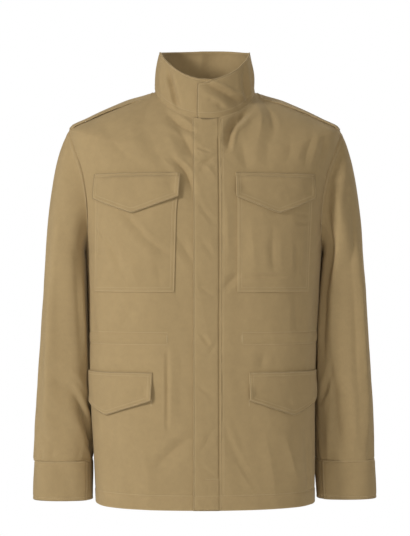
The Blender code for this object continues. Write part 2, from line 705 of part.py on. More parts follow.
cut_panel("back", back)
for side in SIDES:
    cut_panel("front_" + side, fronts[side])
    cut_panel("sleeve_" + side, sleeves[side], tube=True)
    cuff(side)
    chest_pocket(side, fronts[side])
    chest_flap(side, fronts[side])
    hip_flap(side, fronts[side])
    epaulette(side, fronts[side], back)
placket(fronts)
collar(fronts, back)
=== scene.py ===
# %% [markdown]
# # A field jacket in cotton twill
#
# This lesson dresses a finished CAD model. The model already holds the jacket's pieces at their
# real size: fronts, back, sleeves, collar, cuffs, pockets, flaps and straps. They are plain facets,
# good for collisions and weight. Here each piece gets the surface that the eye expects: soft
# creases, rolled edges, stitching and a woven finish.
#
# Every piece is a surface worked out with numpy. A shape is a function of two parameters, such as
# the distance round the body and the height, and a whole grid of points is worked out at once.

# %% Load the frame
from collections import namedtuple

import bpy
import numpy as np
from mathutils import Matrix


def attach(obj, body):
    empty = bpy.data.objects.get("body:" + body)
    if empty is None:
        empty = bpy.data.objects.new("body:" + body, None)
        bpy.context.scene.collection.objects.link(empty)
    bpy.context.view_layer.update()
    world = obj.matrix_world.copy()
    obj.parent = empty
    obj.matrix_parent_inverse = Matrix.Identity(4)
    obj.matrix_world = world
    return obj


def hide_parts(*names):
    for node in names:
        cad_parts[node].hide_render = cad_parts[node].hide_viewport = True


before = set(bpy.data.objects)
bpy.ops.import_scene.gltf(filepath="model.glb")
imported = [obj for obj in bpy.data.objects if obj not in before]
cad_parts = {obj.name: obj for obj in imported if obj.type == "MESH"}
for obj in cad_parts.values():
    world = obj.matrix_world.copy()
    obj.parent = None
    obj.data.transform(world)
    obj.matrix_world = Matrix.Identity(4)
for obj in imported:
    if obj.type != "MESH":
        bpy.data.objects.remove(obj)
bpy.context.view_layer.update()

# %% [markdown]
# ## Sizes
#
# The same driving sizes as in the CAD, in metres. The origin is the middle of the neck, +Z is up,
# the front faces -Y and the wearer's left is +X. The torso is a stack of rings, each named by its
# height at the side. A ring has its own half widths, depths and heights at the centre front and
# back, so that the neckline and the shoulders can dip.

# %% Sizes
CLOTH, DOUBLE_CLOTH, SEAM_GAP = 0.0016, 0.0022, 0.00036
LIFT, BRIDGE_LIFT = 0.0005, 0.0008
NECK, SHOULDER_POINT, ARMPIT = 0.0, -0.069, -0.280
CHEST_FLAP_TOP, CHEST_FLAP_SIDE, CHEST_FLAP_POINT = -0.1475, -0.187, -0.215
CHEST_POCKET_FOOT = -0.347
HIP_FLAP_TOP, HIP_FLAP_SIDE, HIP_FLAP_POINT = -0.482, -0.5255, -0.5555
HEM = -0.712
PLACKET_HALF, EPAULETTE_HALF = 0.0245, 0.025
ARMHOLE_FRONT, ARMHOLE_BACK = 22.0, 25.0
SIDES = {"right": -1, "left": 1}

Ring = namedtuple("Ring", "height right left front front_z back back_z square dip")
TORSO_RINGS = (
    Ring(NECK, 0.087, 0.087, 0.086, -0.053, 0.078, 0.012, 2.0, 1.3),
    Ring(-0.017, 0.132, 0.132, 0.091, -0.070, 0.088, -0.004, 2.0, 1.6),
    Ring(-0.048, 0.2006, 0.2006, 0.099, -0.095, 0.101, -0.030, 2.1, 2.0),
    Ring(SHOULDER_POINT, 0.237, 0.237, 0.104, -0.110, 0.107, -0.050, 2.15, 2.0),
    Ring(CHEST_FLAP_TOP, 0.225, 0.2215, 0.119, CHEST_FLAP_TOP, 0.1325, CHEST_FLAP_TOP, 2.3, 2.0),
    Ring(CHEST_FLAP_POINT, 0.2145, 0.2085, 0.1345, CHEST_FLAP_POINT, 0.1345, CHEST_FLAP_POINT, 2.4, 2.0),
    Ring(ARMPIT, 0.2075, 0.2025, 0.137, ARMPIT, 0.130, ARMPIT, 2.5, 2.0),
    Ring(CHEST_POCKET_FOOT, 0.2035, 0.1975, 0.134, CHEST_POCKET_FOOT, 0.123, CHEST_POCKET_FOOT, 2.5, 2.0),
    Ring(-0.420, 0.2018, 0.1945, 0.128, -0.420, 0.115, -0.420, 2.5, 2.0),
    Ring(-0.500, 0.2008, 0.1925, 0.132, -0.500, 0.117, -0.500, 2.5, 2.0),
    Ring(-0.600, 0.1955, 0.1915, 0.134, -0.600, 0.121, -0.600, 2.5, 2.0),
    Ring(HEM, 0.190, 0.191, 0.135, HEM, 0.125, HEM, 2.5, 2.0),
)
COLLAR_RIM = Ring(0.070, 0.079, 0.079, 0.078, 0.015, 0.074, 0.082, 2.0, 1.5)


# %% [markdown]
# ## Reading the tables
#
# A monotone cubic runs through each column of a table. It is smooth and it never overshoots, so a
# sleeve that narrows down its table narrows everywhere. A signed power of the sine and cosine bends
# a circle into a squarer outline, which is how a shirt or jacket stands off the body.


# %% Interpolation and rings
def smooth_column(rows, field, at):
    """A column of a table read at other heights: a monotone cubic through its rows."""
    x = -np.array([row.height for row in rows])
    y = np.array([getattr(row, field) for row in rows])
    step = np.diff(x)
    slope = np.diff(y) / step
    before, after = slope[:-1], slope[1:]
    turning = before * after <= 0
    weight_before, weight_after = step[:-1] + 2 * step[1:], 2 * step[:-1] + step[1:]
    share = weight_before / np.where(turning, 1.0, before) + weight_after / np.where(turning, 1.0, after)
    inner = np.where(turning, 0.0, (weight_before + weight_after) / np.where(turning, 1.0, share))
    tangent = np.concatenate([slope[:1], inner, slope[-1:]])
    depth = -np.asarray(at, float)
    cell = np.clip(np.searchsorted(x, depth) - 1, 0, len(step) - 1)
    t = (depth - x[cell]) / step[cell]
    start = y[cell] * (2 * t**3 - 3 * t**2 + 1) + step[cell] * tangent[cell] * (t**3 - 2 * t**2 + t)
    end = y[cell + 1] * (3 * t**2 - 2 * t**3) + step[cell] * tangent[cell + 1] * (t**3 - t**2)
    return start + end


def unit(vectors):
    """Each vector over its own length."""
    return vectors / np.maximum(np.linalg.norm(vectors, axis=-1, keepdims=True), 1e-12)


def power(value, exponent):
    """The size to a power, with the sign kept."""
    return np.sign(value) * np.abs(value) ** exponent


def smooth_step(value, start, end):
    """0 before start and 1 past end, with a cubic between them."""
    share = np.clip((value - start) / (end - start), 0.0, 1.0)
    return share * share * (3 - 2 * share)


def bell(value, width):
    """1 in the middle, and exp(-1) at a width to each side."""
    return np.exp(-((value / width) ** 2))


def ring_point(degrees, ring):
    """A squared ellipse that dips from its sides to its middles by a power of the cosine."""
    sine, cosine = np.sin(np.radians(degrees)), np.cos(np.radians(degrees))
    width = np.where(sine >= 0, ring.left, ring.right)
    depth = np.where(cosine >= 0, ring.front, ring.back)
    middle_z = np.where(cosine >= 0, ring.front_z, ring.back_z)
    x = width * power(sine, 2 / ring.square)
    y = -depth * power(cosine, 2 / ring.square)
    z = ring.height + (middle_z - ring.height) * np.abs(cosine) ** ring.dip
    return np.stack(np.broadcast_arrays(x, y, z), axis=-1)


def torso_point(degrees, height):
    """The ring at this height, its fields read from the table, at this angle."""
    fields = {field: smooth_column(TORSO_RINGS, field, height) for field in Ring._fields[1:]}
    return ring_point(degrees, Ring(np.asarray(height, float), **fields))


def armhole_cut(height, deepest):
    """How far the armhole cuts in from the side line, in degrees: half an ellipse."""
    share = np.clip((height - SHOULDER_POINT) / (ARMPIT - SHOULDER_POINT), 0.0, 1.0)
    return deepest * 2 * np.sqrt(share * (1 - share))


print("chest ring is", round(2 * TORSO_RINGS[6].left, 3), "m wide")

# %% [markdown]
# ## Distances round the body
#
# A tailor places a pocket by measuring from the centre front, not by an angle. So each ring is
# measured once into a table of distance against angle, and any place on the cloth is then named
# by two lengths: how far round, and at which ring. One such measure starts at the centre front,
# one at the centre back, and one at each side seam for the shoulder straps.


# %% Distances
class Round:
    """Turns a distance round a ring, from a starting angle, into an angle. Turning +1 runs towards
    the wearer's left from the centre front."""

    SHOULDER, BODY = np.linspace(NECK, SHOULDER_POINT, 90), np.linspace(SHOULDER_POINT, HEM, 160)
    HEIGHTS = np.concatenate([SHOULDER, BODY[1:]])
    REACH = np.linspace(-0.62, 0.62, 1241)

    def __init__(self, start, turning):
        offsets = np.linspace(-150.0, 150.0, 1201)
        angles = start + turning * offsets
        points = torso_point(angles[None, :], self.HEIGHTS[:, None])
        steps = np.linalg.norm(np.diff(points, axis=1), axis=-1)
        run = np.concatenate([np.zeros((len(self.HEIGHTS), 1)), np.cumsum(steps, axis=1)], axis=1)
        run -= run[:, [len(offsets) // 2]]
        self.angles = np.array([np.interp(self.REACH, line, angles) for line in run])
        self.angle_rows, self.run_rows, self.turning = angles, run, turning

    def angle(self, distance, height):
        """The table read between its rows and columns."""
        row = np.interp(-height, -self.HEIGHTS, np.arange(len(self.HEIGHTS)))
        column = np.interp(distance, self.REACH, np.arange(len(self.REACH)))
        low_row = np.minimum(row.astype(int), len(self.HEIGHTS) - 2)
        low_column = np.minimum(column.astype(int), len(self.REACH) - 2)
        down, over = row - low_row, column - low_column
        top, top_next = self.angles[low_row, low_column], self.angles[low_row, low_column + 1]
        foot, foot_next = self.angles[low_row + 1, low_column], self.angles[low_row + 1, low_column + 1]
        top = top * (1 - over) + top_next * over
        foot = foot * (1 - over) + foot_next * over
        return top * (1 - down) + foot * down

    def distance(self, angle, height):
        """The other way: how far round an angle lies, for heights in a column."""
        order = slice(None, None, self.turning)
        lines = [
            np.interp(a, self.angle_rows[order], line[order])
            for a, line in zip(np.broadcast_to(angle, height.shape), self.rows_at(height))
        ]
        return np.array(lines)

    def rows_at(self, height):
        """The measured distances at heights that lie between two rings."""
        row = np.interp(-height, -self.HEIGHTS, np.arange(len(self.HEIGHTS)))
        low = np.minimum(row.astype(int), len(self.HEIGHTS) - 2)
        down = (row - low)[:, None]
        return self.run_rows[low] * (1 - down) + self.run_rows[low + 1] * down


from_front = Round(0.0, 1)
from_back = Round(180.0, -1)
hem_round = from_front.distance(90.0, np.array([HEM]))[0] + from_back.distance(90.0, np.array([HEM]))[0]
print("the hem measures about", round(2 * hem_round, 3), "m round")

# %% [markdown]
# ## Creases
#
# A crease is a trough or a ridge along a slightly bowed line. Cloth never folds evenly, so each one
# is placed with its own width and depth, one side can be steeper than the other (lean),
# and one end can be deeper (bias). A trough pushes up a low ridge beside it, because cloth
# doesn't stretch. Very low waves of a few centimetres are added over everything.


# %% Crease formula
Crease = namedtuple("Crease", "u0 v0 u1 v1 width depth bow lean bias", defaults=(0.0, 0.0, 0.0))
# The table's depths are relative. This turns them into real ones, and spares the deepest.
CREASE_GAIN, CREASE_SOFTENS = 1.8, 0.007
WAVE_LENGTHS = (0.16, 0.11, 0.075, 0.052, 0.037, 0.026, 0.018)


def crease_lift(creases, u, v):
    """How far the creases move the cloth out. Each is a bell across its line. The line is a chord
    bowed sideways by a parabola, and the bell fades past both ends."""
    u, v = np.broadcast_arrays(u, v)
    total = np.zeros(u.shape)
    for crease in creases:
        run = np.array([crease.u1 - crease.u0, crease.v1 - crease.v0])
        length = np.linalg.norm(run)
        run /= length
        over, down = u - crease.u0, v - crease.v0
        along = over * run[0] + down * run[1]
        share = np.clip(along / length, 0.0, 1.0)
        aside = over * run[1] - down * run[0] - 4 * crease.bow * share * (1 - share)
        steeper = crease.lean * np.sign(aside) * smooth_step(np.abs(aside), 0.0, crease.width)
        width = crease.width * (1 + steeper)
        taper = np.sin(np.pi * (0.12 + 0.76 * share)) * (1 + crease.bias * (2 * share - 1))
        past = (along - share * length) / (1.4 * crease.width)
        across = aside / width
        sharp = np.exp(-1.5 * (np.sqrt(across**2 + 0.05) - 0.224))
        hump = sharp - 0.30 * np.exp(-((np.abs(across) - 1.75) ** 2) * 1.6)
        depth = crease.depth * CREASE_GAIN / (1 + abs(crease.depth) / CREASE_SOFTENS)
        total += depth * taper * hump * np.exp(-past**2)
    return total


def waves(u, v, depth, seed):
    """Low waves: a sum of sines whose directions, lengths and phases come from a seeded draw."""
    draw = np.random.default_rng(seed)
    total = np.zeros(np.broadcast(u, v).shape)
    for length in WAVE_LENGTHS:
        turn, phase = draw.uniform(-0.6, 0.6), draw.uniform(0, 2 * np.pi)
        run = u * np.cos(turn) + 0.45 * v * np.sin(turn + 1)
        total += length / WAVE_LENGTHS[0] * np.sin(2 * np.pi / length * run + phase)
    return depth * total / 2.0


sample = Crease(0.0, 0.0, 0.0, -0.1, 0.010, -0.0030)
trough = crease_lift([sample], np.array([0.0, 0.018]), np.array([-0.05, -0.05]))
print("a trough's middle and the ridge beside it, in mm:", (trough * 1000).round(2))

# %% [markdown]
# The creases themselves are listed, each from one end to the other. Distances round the body
# come first and heights second. Most gather by the collar, round the waist and over the skirt. The
# back has its own, pulled in from the shoulder blades and gathered at the waist's channel.

# %% Creases of the fronts and the back
FRONT_CREASES = (
    # by the collar on the wearer's left, where the cloth dives in behind the placket
    Crease(0.090, -0.001, 0.044, -0.020, 0.0085, -0.0150, 0.004, 0.3, 0.3),
    Crease(0.048, -0.012, 0.035, -0.062, 0.0075, -0.0170, 0.003, 0.35, -0.1),
    Crease(0.112, -0.003, 0.088, -0.052, 0.0120, 0.0030, 0.003),
    Crease(0.128, -0.008, 0.116, -0.050, 0.0060, -0.0010),
    Crease(0.060, -0.045, 0.066, -0.140, 0.0080, -0.0009),
    Crease(0.084, -0.050, 0.082, -0.125, 0.0100, 0.0007),
    Crease(0.108, -0.050, 0.102, -0.120, 0.0080, -0.0006, 0.002),
    Crease(0.145, -0.052, 0.135, -0.125, 0.0090, -0.0009, -0.003),
    Crease(0.190, -0.062, 0.172, -0.125, 0.0080, -0.0012, 0.004),
    Crease(0.213, -0.078, 0.204, -0.115, 0.0090, -0.0020),
    # the wearer's right chest, drawn towards the placket
    Crease(-0.074, -0.006, -0.020, -0.028, 0.0075, -0.0062, -0.002, 0.2, 0.3),
    Crease(-0.052, -0.018, -0.021, -0.090, 0.0110, -0.0056, -0.004, 0.2, 0.2),
    Crease(-0.058, -0.095, -0.024, -0.184, 0.0075, -0.0072, -0.003, 0.25, 0.35),
    Crease(-0.100, -0.040, -0.070, -0.120, 0.0180, -0.0014),
    Crease(-0.180, -0.050, -0.130, -0.110, 0.0200, -0.0018),
    Crease(-0.050, -0.257, -0.024, -0.298, 0.0080, -0.0020),
    # between and below the pockets
    Crease(0.025, -0.342, 0.050, -0.318, 0.0070, -0.0020),
    Crease(0.031, -0.200, 0.034, -0.300, 0.0080, 0.0010),
    Crease(0.156, -0.366, 0.157, -0.410, 0.0070, -0.0016),
    Crease(-0.120, -0.362, -0.150, -0.408, 0.0120, -0.0013),
    Crease(0.095, -0.450, 0.090, -0.476, 0.0090, -0.0012),
    Crease(-0.068, -0.452, -0.068, -0.572, 0.0030, -0.0030),
    Crease(-0.058, -0.450, -0.060, -0.560, 0.0080, 0.0010),
    # the skirt of the jacket
    Crease(0.028, -0.572, 0.078, -0.676, 0.0080, -0.0010, 0.004, 0.25),
    Crease(0.048, -0.636, 0.070, -0.672, 0.0070, 0.0009),
    Crease(0.100, -0.590, 0.118, -0.700, 0.0110, 0.0008),
    Crease(0.138, -0.598, 0.162, -0.672, 0.0090, 0.0014),
    Crease(0.185, -0.590, 0.196, -0.700, 0.0130, -0.0022),
    Crease(-0.028, -0.590, -0.082, -0.636, 0.0110, -0.0024, 0.003, -0.2),
    Crease(-0.110, -0.600, -0.095, -0.705, 0.0170, 0.0014),
    Crease(-0.175, -0.590, -0.165, -0.700, 0.0160, -0.0016),
    Crease(-0.225, -0.330, -0.215, -0.440, 0.0140, -0.0014),
    Crease(0.222, -0.330, 0.210, -0.440, 0.0140, -0.0018),
)
BACK_CREASES = (
    Crease(-0.165, -0.120, -0.085, -0.250, 0.0160, -0.0045, 0.006, 0.2),
    Crease(0.170, -0.110, 0.095, -0.235, 0.0150, -0.0042, -0.005, -0.2),
    Crease(-0.120, -0.095, -0.060, -0.175, 0.0130, -0.0022, 0.004),
    Crease(0.130, -0.080, 0.075, -0.150, 0.0140, -0.0020, -0.004),
    Crease(-0.030, -0.060, -0.022, -0.170, 0.0160, 0.0015),
    Crease(0.045, -0.055, 0.036, -0.190, 0.0180, -0.0014),
    Crease(-0.062, -0.350, -0.080, -0.405, 0.0120, -0.0024),
    Crease(0.072, -0.345, 0.060, -0.405, 0.0120, -0.0024),
    Crease(-0.140, -0.340, -0.150, -0.405, 0.0110, -0.0018),
    Crease(0.150, -0.350, 0.146, -0.408, 0.0110, -0.0020),
    Crease(-0.040, -0.450, -0.070, -0.600, 0.0150, -0.0030, 0.003),
    Crease(0.052, -0.448, 0.060, -0.640, 0.0160, -0.0032, -0.003),
    Crease(0.000, -0.448, -0.008, -0.520, 0.0120, 0.0018),
    Crease(-0.130, -0.450, -0.112, -0.690, 0.0180, -0.0036, 0.004, 0.2),
    Crease(0.138, -0.450, 0.156, -0.700, 0.0180, -0.0034, 0.003),
    Crease(-0.090, -0.560, -0.085, -0.705, 0.0180, 0.0022),
    Crease(0.105, -0.550, 0.112, -0.705, 0.0180, 0.0024),
    Crease(-0.205, -0.300, -0.190, -0.430, 0.0130, -0.0026),
    Crease(0.205, -0.310, 0.186, -0.440, 0.0130, -0.0024),
)
print(len(FRONT_CREASES), "creases in front and", len(BACK_CREASES), "behind")


# %% [markdown]
# ## A surface of cloth
#
# A `Cloth` holds a smooth form and the creases laid over it. It answers two questions for any
# place on it: where is it, and which way does it face? Pockets, flaps and stitches ask the same
# cloth with a small lift, so they follow every crease of the panel that they are sewn to.


# %% Cloth
class Cloth:
    """A form, named by two coordinates, whose normals come from small steps to each side."""

    def __init__(self, form, lift, step_u, step_v, outward=1):
        self.form, self.lift = form, lift
        self.step_u, self.step_v, self.outward = step_u, step_v, outward

    def facing(self, points_at, u, v):
        """The cross product of two small steps, one each way."""
        du = points_at(u + self.step_u, v) - points_at(u - self.step_u, v)
        dv = points_at(u, v + self.step_v) - points_at(u, v - self.step_v)
        return self.outward * unit(np.cross(du, dv))

    def at(self, u, v, lift=0.0):
        """The points there, moved out along the form's normals by the creases and the lift."""
        u, v, lift = np.broadcast_arrays(np.asarray(u, float), v, lift)
        form = self.form(u, v)
        return form + (self.lift(u, v, form) + lift)[..., None] * self.facing(self.form, u, v)

    def normal(self, u, v):
        """The way the creased cloth faces."""
        return self.facing(self.at, u, v)


def seam_edge(height):
    """The distance from the centre front to the side seam or the armhole."""
    heights = np.atleast_1d(height)
    angle = 90.0 - armhole_cut(heights, ARMHOLE_FRONT)
    return {side: np.abs(from_front.distance(sign * angle, heights)) for side, sign in SIDES.items()}


EDGE_HEIGHTS = np.linspace(NECK, HEM, 500)
FRONT_EDGE = seam_edge(EDGE_HEIGHTS)


def front_edge(side, height):
    """The side seam or the armhole, read from the measured table."""
    return np.interp(-height, -EDGE_HEIGHTS, FRONT_EDGE[side])


# The stitched lines that run across the body
WAIST_TOP, WAIST_FOOT, HEM_STITCH = -0.415, -0.4355, HEM + 0.025
WAIST_END = {"right": 0.068, "left": 0.058}


def channel_lift(v, strength):
    """The drawstring's channel at the waist: a low welt, drawn in along its two stitch lines."""
    above_foot = smooth_step(v, WAIST_FOOT, WAIST_FOOT + 0.006)
    below_top = smooth_step(-v, -WAIST_TOP, 0.006 - WAIST_TOP)
    welt = 0.0007 * above_foot * below_top
    drawn = -0.0006 * (bell(v - WAIST_TOP, 0.0022) + bell(v - WAIST_FOOT, 0.0022))
    return strength * (welt + drawn)


def hem_lift(v):
    """The turned-up hem is two layers thick, and its stitching draws it in."""
    return 0.0005 * smooth_step(-v, -HEM_STITCH, 0.004 - HEM_STITCH) - 0.0005 * bell(v - HEM_STITCH, 0.0022)


def placket_bed(u):
    """Beside the fly the front swells up, level with the placket's flat edge."""
    return 0.0016 * smooth_step(u, 0.0185, 0.0245) * smooth_step(-u, -0.060, -0.030)


def front_lift(u, v, form):
    """Creases of the fronts. They fade towards the neck seam, the armholes and the side seams."""
    side_edge = np.where(u < 0, front_edge("right", v), front_edge("left", v))
    to_edge = side_edge - np.abs(u)
    ends = np.where(u < 0, WAIST_END["right"], WAIST_END["left"])
    fade = smooth_step(to_edge, 0.001, 0.022) * smooth_step(NECK - v, 0.0, 0.008)
    seam = -0.0003 * bell(to_edge, 0.0025)
    folds = crease_lift(FRONT_CREASES, u, v) + waves(u, v, 0.0008, 3)
    folds = folds * (0.35 + 0.65 * smooth_step(np.abs(u), 0.014, 0.032))
    channel = channel_lift(v, smooth_step(np.abs(u), ends - 0.004, ends + 0.004))
    return fade * folds + seam + channel + hem_lift(v) + placket_bed(u)


def back_lift(u, v, form):
    """Creases of the back, which fade towards its seams."""
    to_edge = np.interp(-v, -EDGE_HEIGHTS, BACK_EDGE) - np.abs(u)
    fade = smooth_step(to_edge, 0.001, 0.022) * smooth_step(NECK - v, 0.0, 0.006)
    folds = crease_lift(BACK_CREASES, u, v) + waves(u, v, 0.0011, 8)
    return fade * folds - 0.0007 * bell(to_edge, 0.0025) + channel_lift(v, 1.0) + hem_lift(v)


BACK_EDGE = np.abs(from_back.distance(90.0 + armhole_cut(EDGE_HEIGHTS, ARMHOLE_BACK), EDGE_HEIGHTS))


def round_form(measure):
    """The torso's form in distances: an angle from the measure, and then the ring's point."""
    return lambda u, v: torso_point(measure.angle(u, np.clip(v, HEM, NECK)), np.clip(v, HEM, NECK))


front_cloth = Cloth(round_form(from_front), front_lift, 0.0012, 0.0008)
back_cloth = Cloth(round_form(from_back), back_lift, 0.0012, 0.0008, outward=-1)
print("side seam lies", round(float(front_edge("left", -0.5)), 3), "m from the centre front")
middle = front_cloth.normal(np.array([0.0]), np.array([-0.3]))[0]
behind = back_cloth.normal(np.array([0.0]), np.array([-0.3]))[0]
print("the front faces", middle.round(2), "and the back", behind.round(2))

# %% [markdown]
# ## From a grid of points to a wall of cloth
#
# A piece of cloth has two faces and a folded edge. Blender's Solidify could thicken an open
# surface, but its edges come out square. Sewn cloth is rolled at its edges and that roll catches
# the light, so the wall is built here: the outer skin, half a circle of points round every edge,
# and the inner skin. All of it is one closed mesh with smooth shading.


# %% Walls
EDGE_TURNS = np.radians([36.0, 90.0, 144.0])


def grid_numbers(rows, columns, wrap):
    """Point numbers in rows. On a tube the first column comes again at the end."""
    number = np.arange(rows * columns).reshape(rows, columns)
    return np.concatenate([number, number[:, :1]], axis=1) if wrap else number


def quads(top, foot):
    """Quads between two lines of point numbers."""
    return np.stack([top[:-1], foot[:-1], foot[1:], top[1:]], axis=-1).reshape(-1, 4)


def quads_of_grid(number):
    """Quads over a whole grid of point numbers."""
    above, below = number[:-1], number[1:]
    return np.stack([above[:, :-1], below[:, :-1], below[:, 1:], above[:, 1:]], axis=-1).reshape(-1, 4)


def facing_of(points, outward, wrap):
    """Normals of a grid, turned to the same side as a rough outward direction."""
    if wrap:
        across = np.roll(points, -1, axis=1) - np.roll(points, 1, axis=1)
    else:
        across = np.gradient(points, axis=1)
    normals = unit(np.cross(across, np.gradient(points, axis=0)))
    return normals * np.sign(np.sum(normals * outward, axis=-1, keepdims=True))


def to_boundary(points, wrap):
    """How far each point of a grid is from its nearest edge, along the rows and the columns."""
    down = np.concatenate([[np.zeros(points.shape[1])],
                           np.cumsum(np.linalg.norm(np.diff(points, axis=0), axis=-1), axis=0)])
    nearest = np.minimum(down, down[-1:] - down)
    if not wrap:
        over = np.cumsum(np.linalg.norm(np.diff(points, axis=1), axis=-1), axis=1)
        over = np.concatenate([np.zeros((points.shape[0], 1)), over], axis=1)
        nearest = np.minimum(nearest, np.minimum(over, over[:, -1:] - over))
    return nearest


print("an edge is rolled in", len(EDGE_TURNS) + 1, "strips")

# %% [markdown]
# The wall itself: first the loops of points along each open edge with the points just inside them,
# then the rolls round those loops, and last the inner skin. A tube has two edge loops, and a flat
# piece has one that goes round its four sides.


# %% The wall
def wall(points, outward, thickness, uv, wrap=False):
    """A closed wall from its outer skin. Each edge point is set in by half the thickness and then
    carried round half a circle to the inner skin. Returns points, faces, uv and edge distance."""
    rows, columns = points.shape[:2]
    normals = facing_of(points, outward, wrap)
    number = grid_numbers(rows, columns, wrap)
    flat_uv = uv.reshape(-1, 2)
    edge_distance = to_boundary(points, wrap).reshape(-1)
    if wrap:
        loops = [(number[0], number[1]), (number[-1, ::-1], number[-2, ::-1])]
    else:
        ring = np.concatenate([number[0], number[1:, -1], number[-1, -2::-1], number[-2::-1, 0]])
        within = np.concatenate([number[1], number[1:, -2], number[-2, -2::-1], number[-2::-1, 1]])
        within[0] = within[-1] = number[1, 1]
        within[columns - 1] = number[1, -2]
        within[columns + rows - 2] = number[-2, -2]
        within[2 * columns + rows - 3] = number[-2, 1]
        loops = [(ring, within)]
    outer, flat_normals = points.reshape(-1, 3).copy(), normals.reshape(-1, 3)
    parts, uvs, wears, faces = [None, None], [None, None], [edge_distance] * 2, []
    count = 2 * rows * columns
    rims = []
    for line, within in loops:
        away = outer[line] - outer[within]
        away = unit(away - np.sum(away * flat_normals[line], axis=-1, keepdims=True) * flat_normals[line])
        rims.append((line, away))
    for line, away in rims:
        outer[line] = points.reshape(-1, 3)[line] - thickness / 2 * away
    for line, away in rims:
        previous = line
        centre = outer[line] - thickness / 2 * flat_normals[line]
        for turn in EDGE_TURNS:
            rim = centre + thickness / 2 * (np.cos(turn) * flat_normals[line] + np.sin(turn) * away)
            parts.append(rim[:-1])
            uvs.append(flat_uv[line][:-1] + turn * thickness / 2 / np.sqrt(2))
            wears.append(np.zeros(len(line) - 1))
            current = np.append(np.arange(count, count + len(line) - 1), count)
            count += len(line) - 1
            faces.append(quads(current, previous))
            previous = current
        faces.append(quads(line + rows * columns, previous))
    parts[0], parts[1] = outer, outer - thickness * flat_normals
    uvs[0] = uvs[1] = flat_uv
    skin = quads_of_grid(number)
    faces = np.concatenate([skin, skin[:, ::-1] + rows * columns, *faces])
    return np.concatenate(parts), faces, np.concatenate(uvs), np.concatenate(wears)


# %% [markdown]
# The arrays go into a mesh in one call each. The volume inside tells whether the faces point
# outwards, because it comes out below 0 when they don't.


# %% Mesh objects
def enclosed_volume(points, faces):
    """The volume inside quads, below 0 where they face inwards."""
    a, b, c, d = (points[faces[:, corner]] for corner in range(4))
    return (np.sum(a * np.cross(b, c)) + np.sum(a * np.cross(c, d))) / 6


def mesh_object(name, points, faces, uv=None, edge_distance=None, around=10.0):
    """A mesh object from whole arrays, with a UV map in metres and the distance to the edge. On a
    tube the faces that close it get a UV that runs on, by the length around."""
    mesh = bpy.data.meshes.new(name)
    mesh.vertices.add(len(points))
    mesh.vertices.foreach_set("co", points.astype(np.float32).ravel())
    mesh.loops.add(faces.size)
    mesh.loops.foreach_set("vertex_index", faces.astype(np.int32).ravel())
    mesh.polygons.add(len(faces))
    mesh.polygons.foreach_set("loop_start", np.arange(0, faces.size, faces.shape[1], dtype=np.int32))
    mesh.update(calc_edges=True)
    if uv is not None:
        corners = uv[faces]
        behind = corners[..., 0].max(axis=1, keepdims=True) - corners[..., 0] > around / 2
        corners[..., 0] += np.where(behind, around, 0.0)
        metres = mesh.uv_layers.new(name="cloth_metres")
        metres.data.foreach_set("uv", corners.astype(np.float32).ravel())
    if edge_distance is not None:
        attribute = mesh.attributes.new("edge_distance", "FLOAT", "POINT")
        attribute.data.foreach_set("value", edge_distance.astype(np.float32))
    mesh.shade_smooth()
    mesh.validate()
    piece = bpy.data.objects.new(name, mesh)
    bpy.context.scene.collection.objects.link(piece)
    return piece


def cloth_piece(name, points, outward, thickness, uv, around=None):
    """A wall of cloth as an object, facing outwards. With a length around, it is a tube."""
    points, faces, uv, edge_distance = wall(points, outward, thickness, uv, around is not None)
    if enclosed_volume(points, faces) < 0:
        faces = faces[:, ::-1]
    piece = mesh_object(name + "_cloth", points, faces, uv, edge_distance, around or 10.0)
    print(f"{name}: {len(faces)} quads, {enclosed_volume(points, faces) * 1e6:.0f} cubic centimetres")
    return piece


# %% [markdown]
# Points are close together only where a surface bends sharply: by its edges and along its lines of
# stitching. Between those the spacing eases out to a whole cell.


# %% Spacing
def spaced(start, end, cell, marks=(), fine=0.0010, reach=0.006):
    """Places from start to end about a cell apart, and closer together by both ends and the marks."""
    places = np.linspace(start, end, 6000)
    near = np.min(np.abs(places[:, None] - np.array([start, end, *marks])), axis=1)
    spacing = fine + (cell - fine) * smooth_step(near, 0.0008, reach)
    count = np.concatenate([[0.0], np.cumsum(abs(end - start) / 5999 / spacing[1:])])
    total = int(round(count[-1]))
    return np.interp(np.linspace(0.0, count[-1], total + 1), count, places)


# %% [markdown]
# ## Fronts and back
#
# Each front runs from the centre to the side seam, with the armhole cut out of its edge. The grid
# keeps the same number of points in every row, so the columns simply draw together where the
# armhole cuts in. Rows are closer on the shoulder, where the rings spread out fast.

# %% Fronts and back
MODEL_WIDTH = 0.30


def panel_rows(cell):
    """Close rows on the shoulder, and rows a cell apart below it."""
    return np.concatenate([
        spaced(NECK, SHOULDER_POINT, 0.0014, fine=0.0008),
        spaced(SHOULDER_POINT, HEM, cell, marks=(WAIST_TOP, WAIST_FOOT, HEM_STITCH))[1:],
    ])


FRONT_ROWS, FRONT_SHARES = panel_rows(0.0026), spaced(0.0, MODEL_WIDTH, 0.0027) / MODEL_WIDTH
BACK_ROWS, BACK_SHARES = panel_rows(0.0037), spaced(-MODEL_WIDTH, MODEL_WIDTH, 0.0037) / MODEL_WIDTH
shown, cuts, stitching = {}, {}, {}


def hang(piece, node, slot, flat, area):
    """Attaches a piece of cloth to the root, hides its CAD part, and keeps its slot, its flat cut and its
    area.
    """
    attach(piece, "root")
    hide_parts(node)
    shown[node], cuts[node] = (piece, slot), (flat, area)


def metres_down(points):
    """How far up its column each point of a grid lies from the last row, along the cloth."""
    steps = np.linalg.norm(np.diff(points, axis=0), axis=-1)
    down = np.concatenate([np.zeros((1, points.shape[1])), np.cumsum(steps, axis=0)])
    return down[-1:] - down


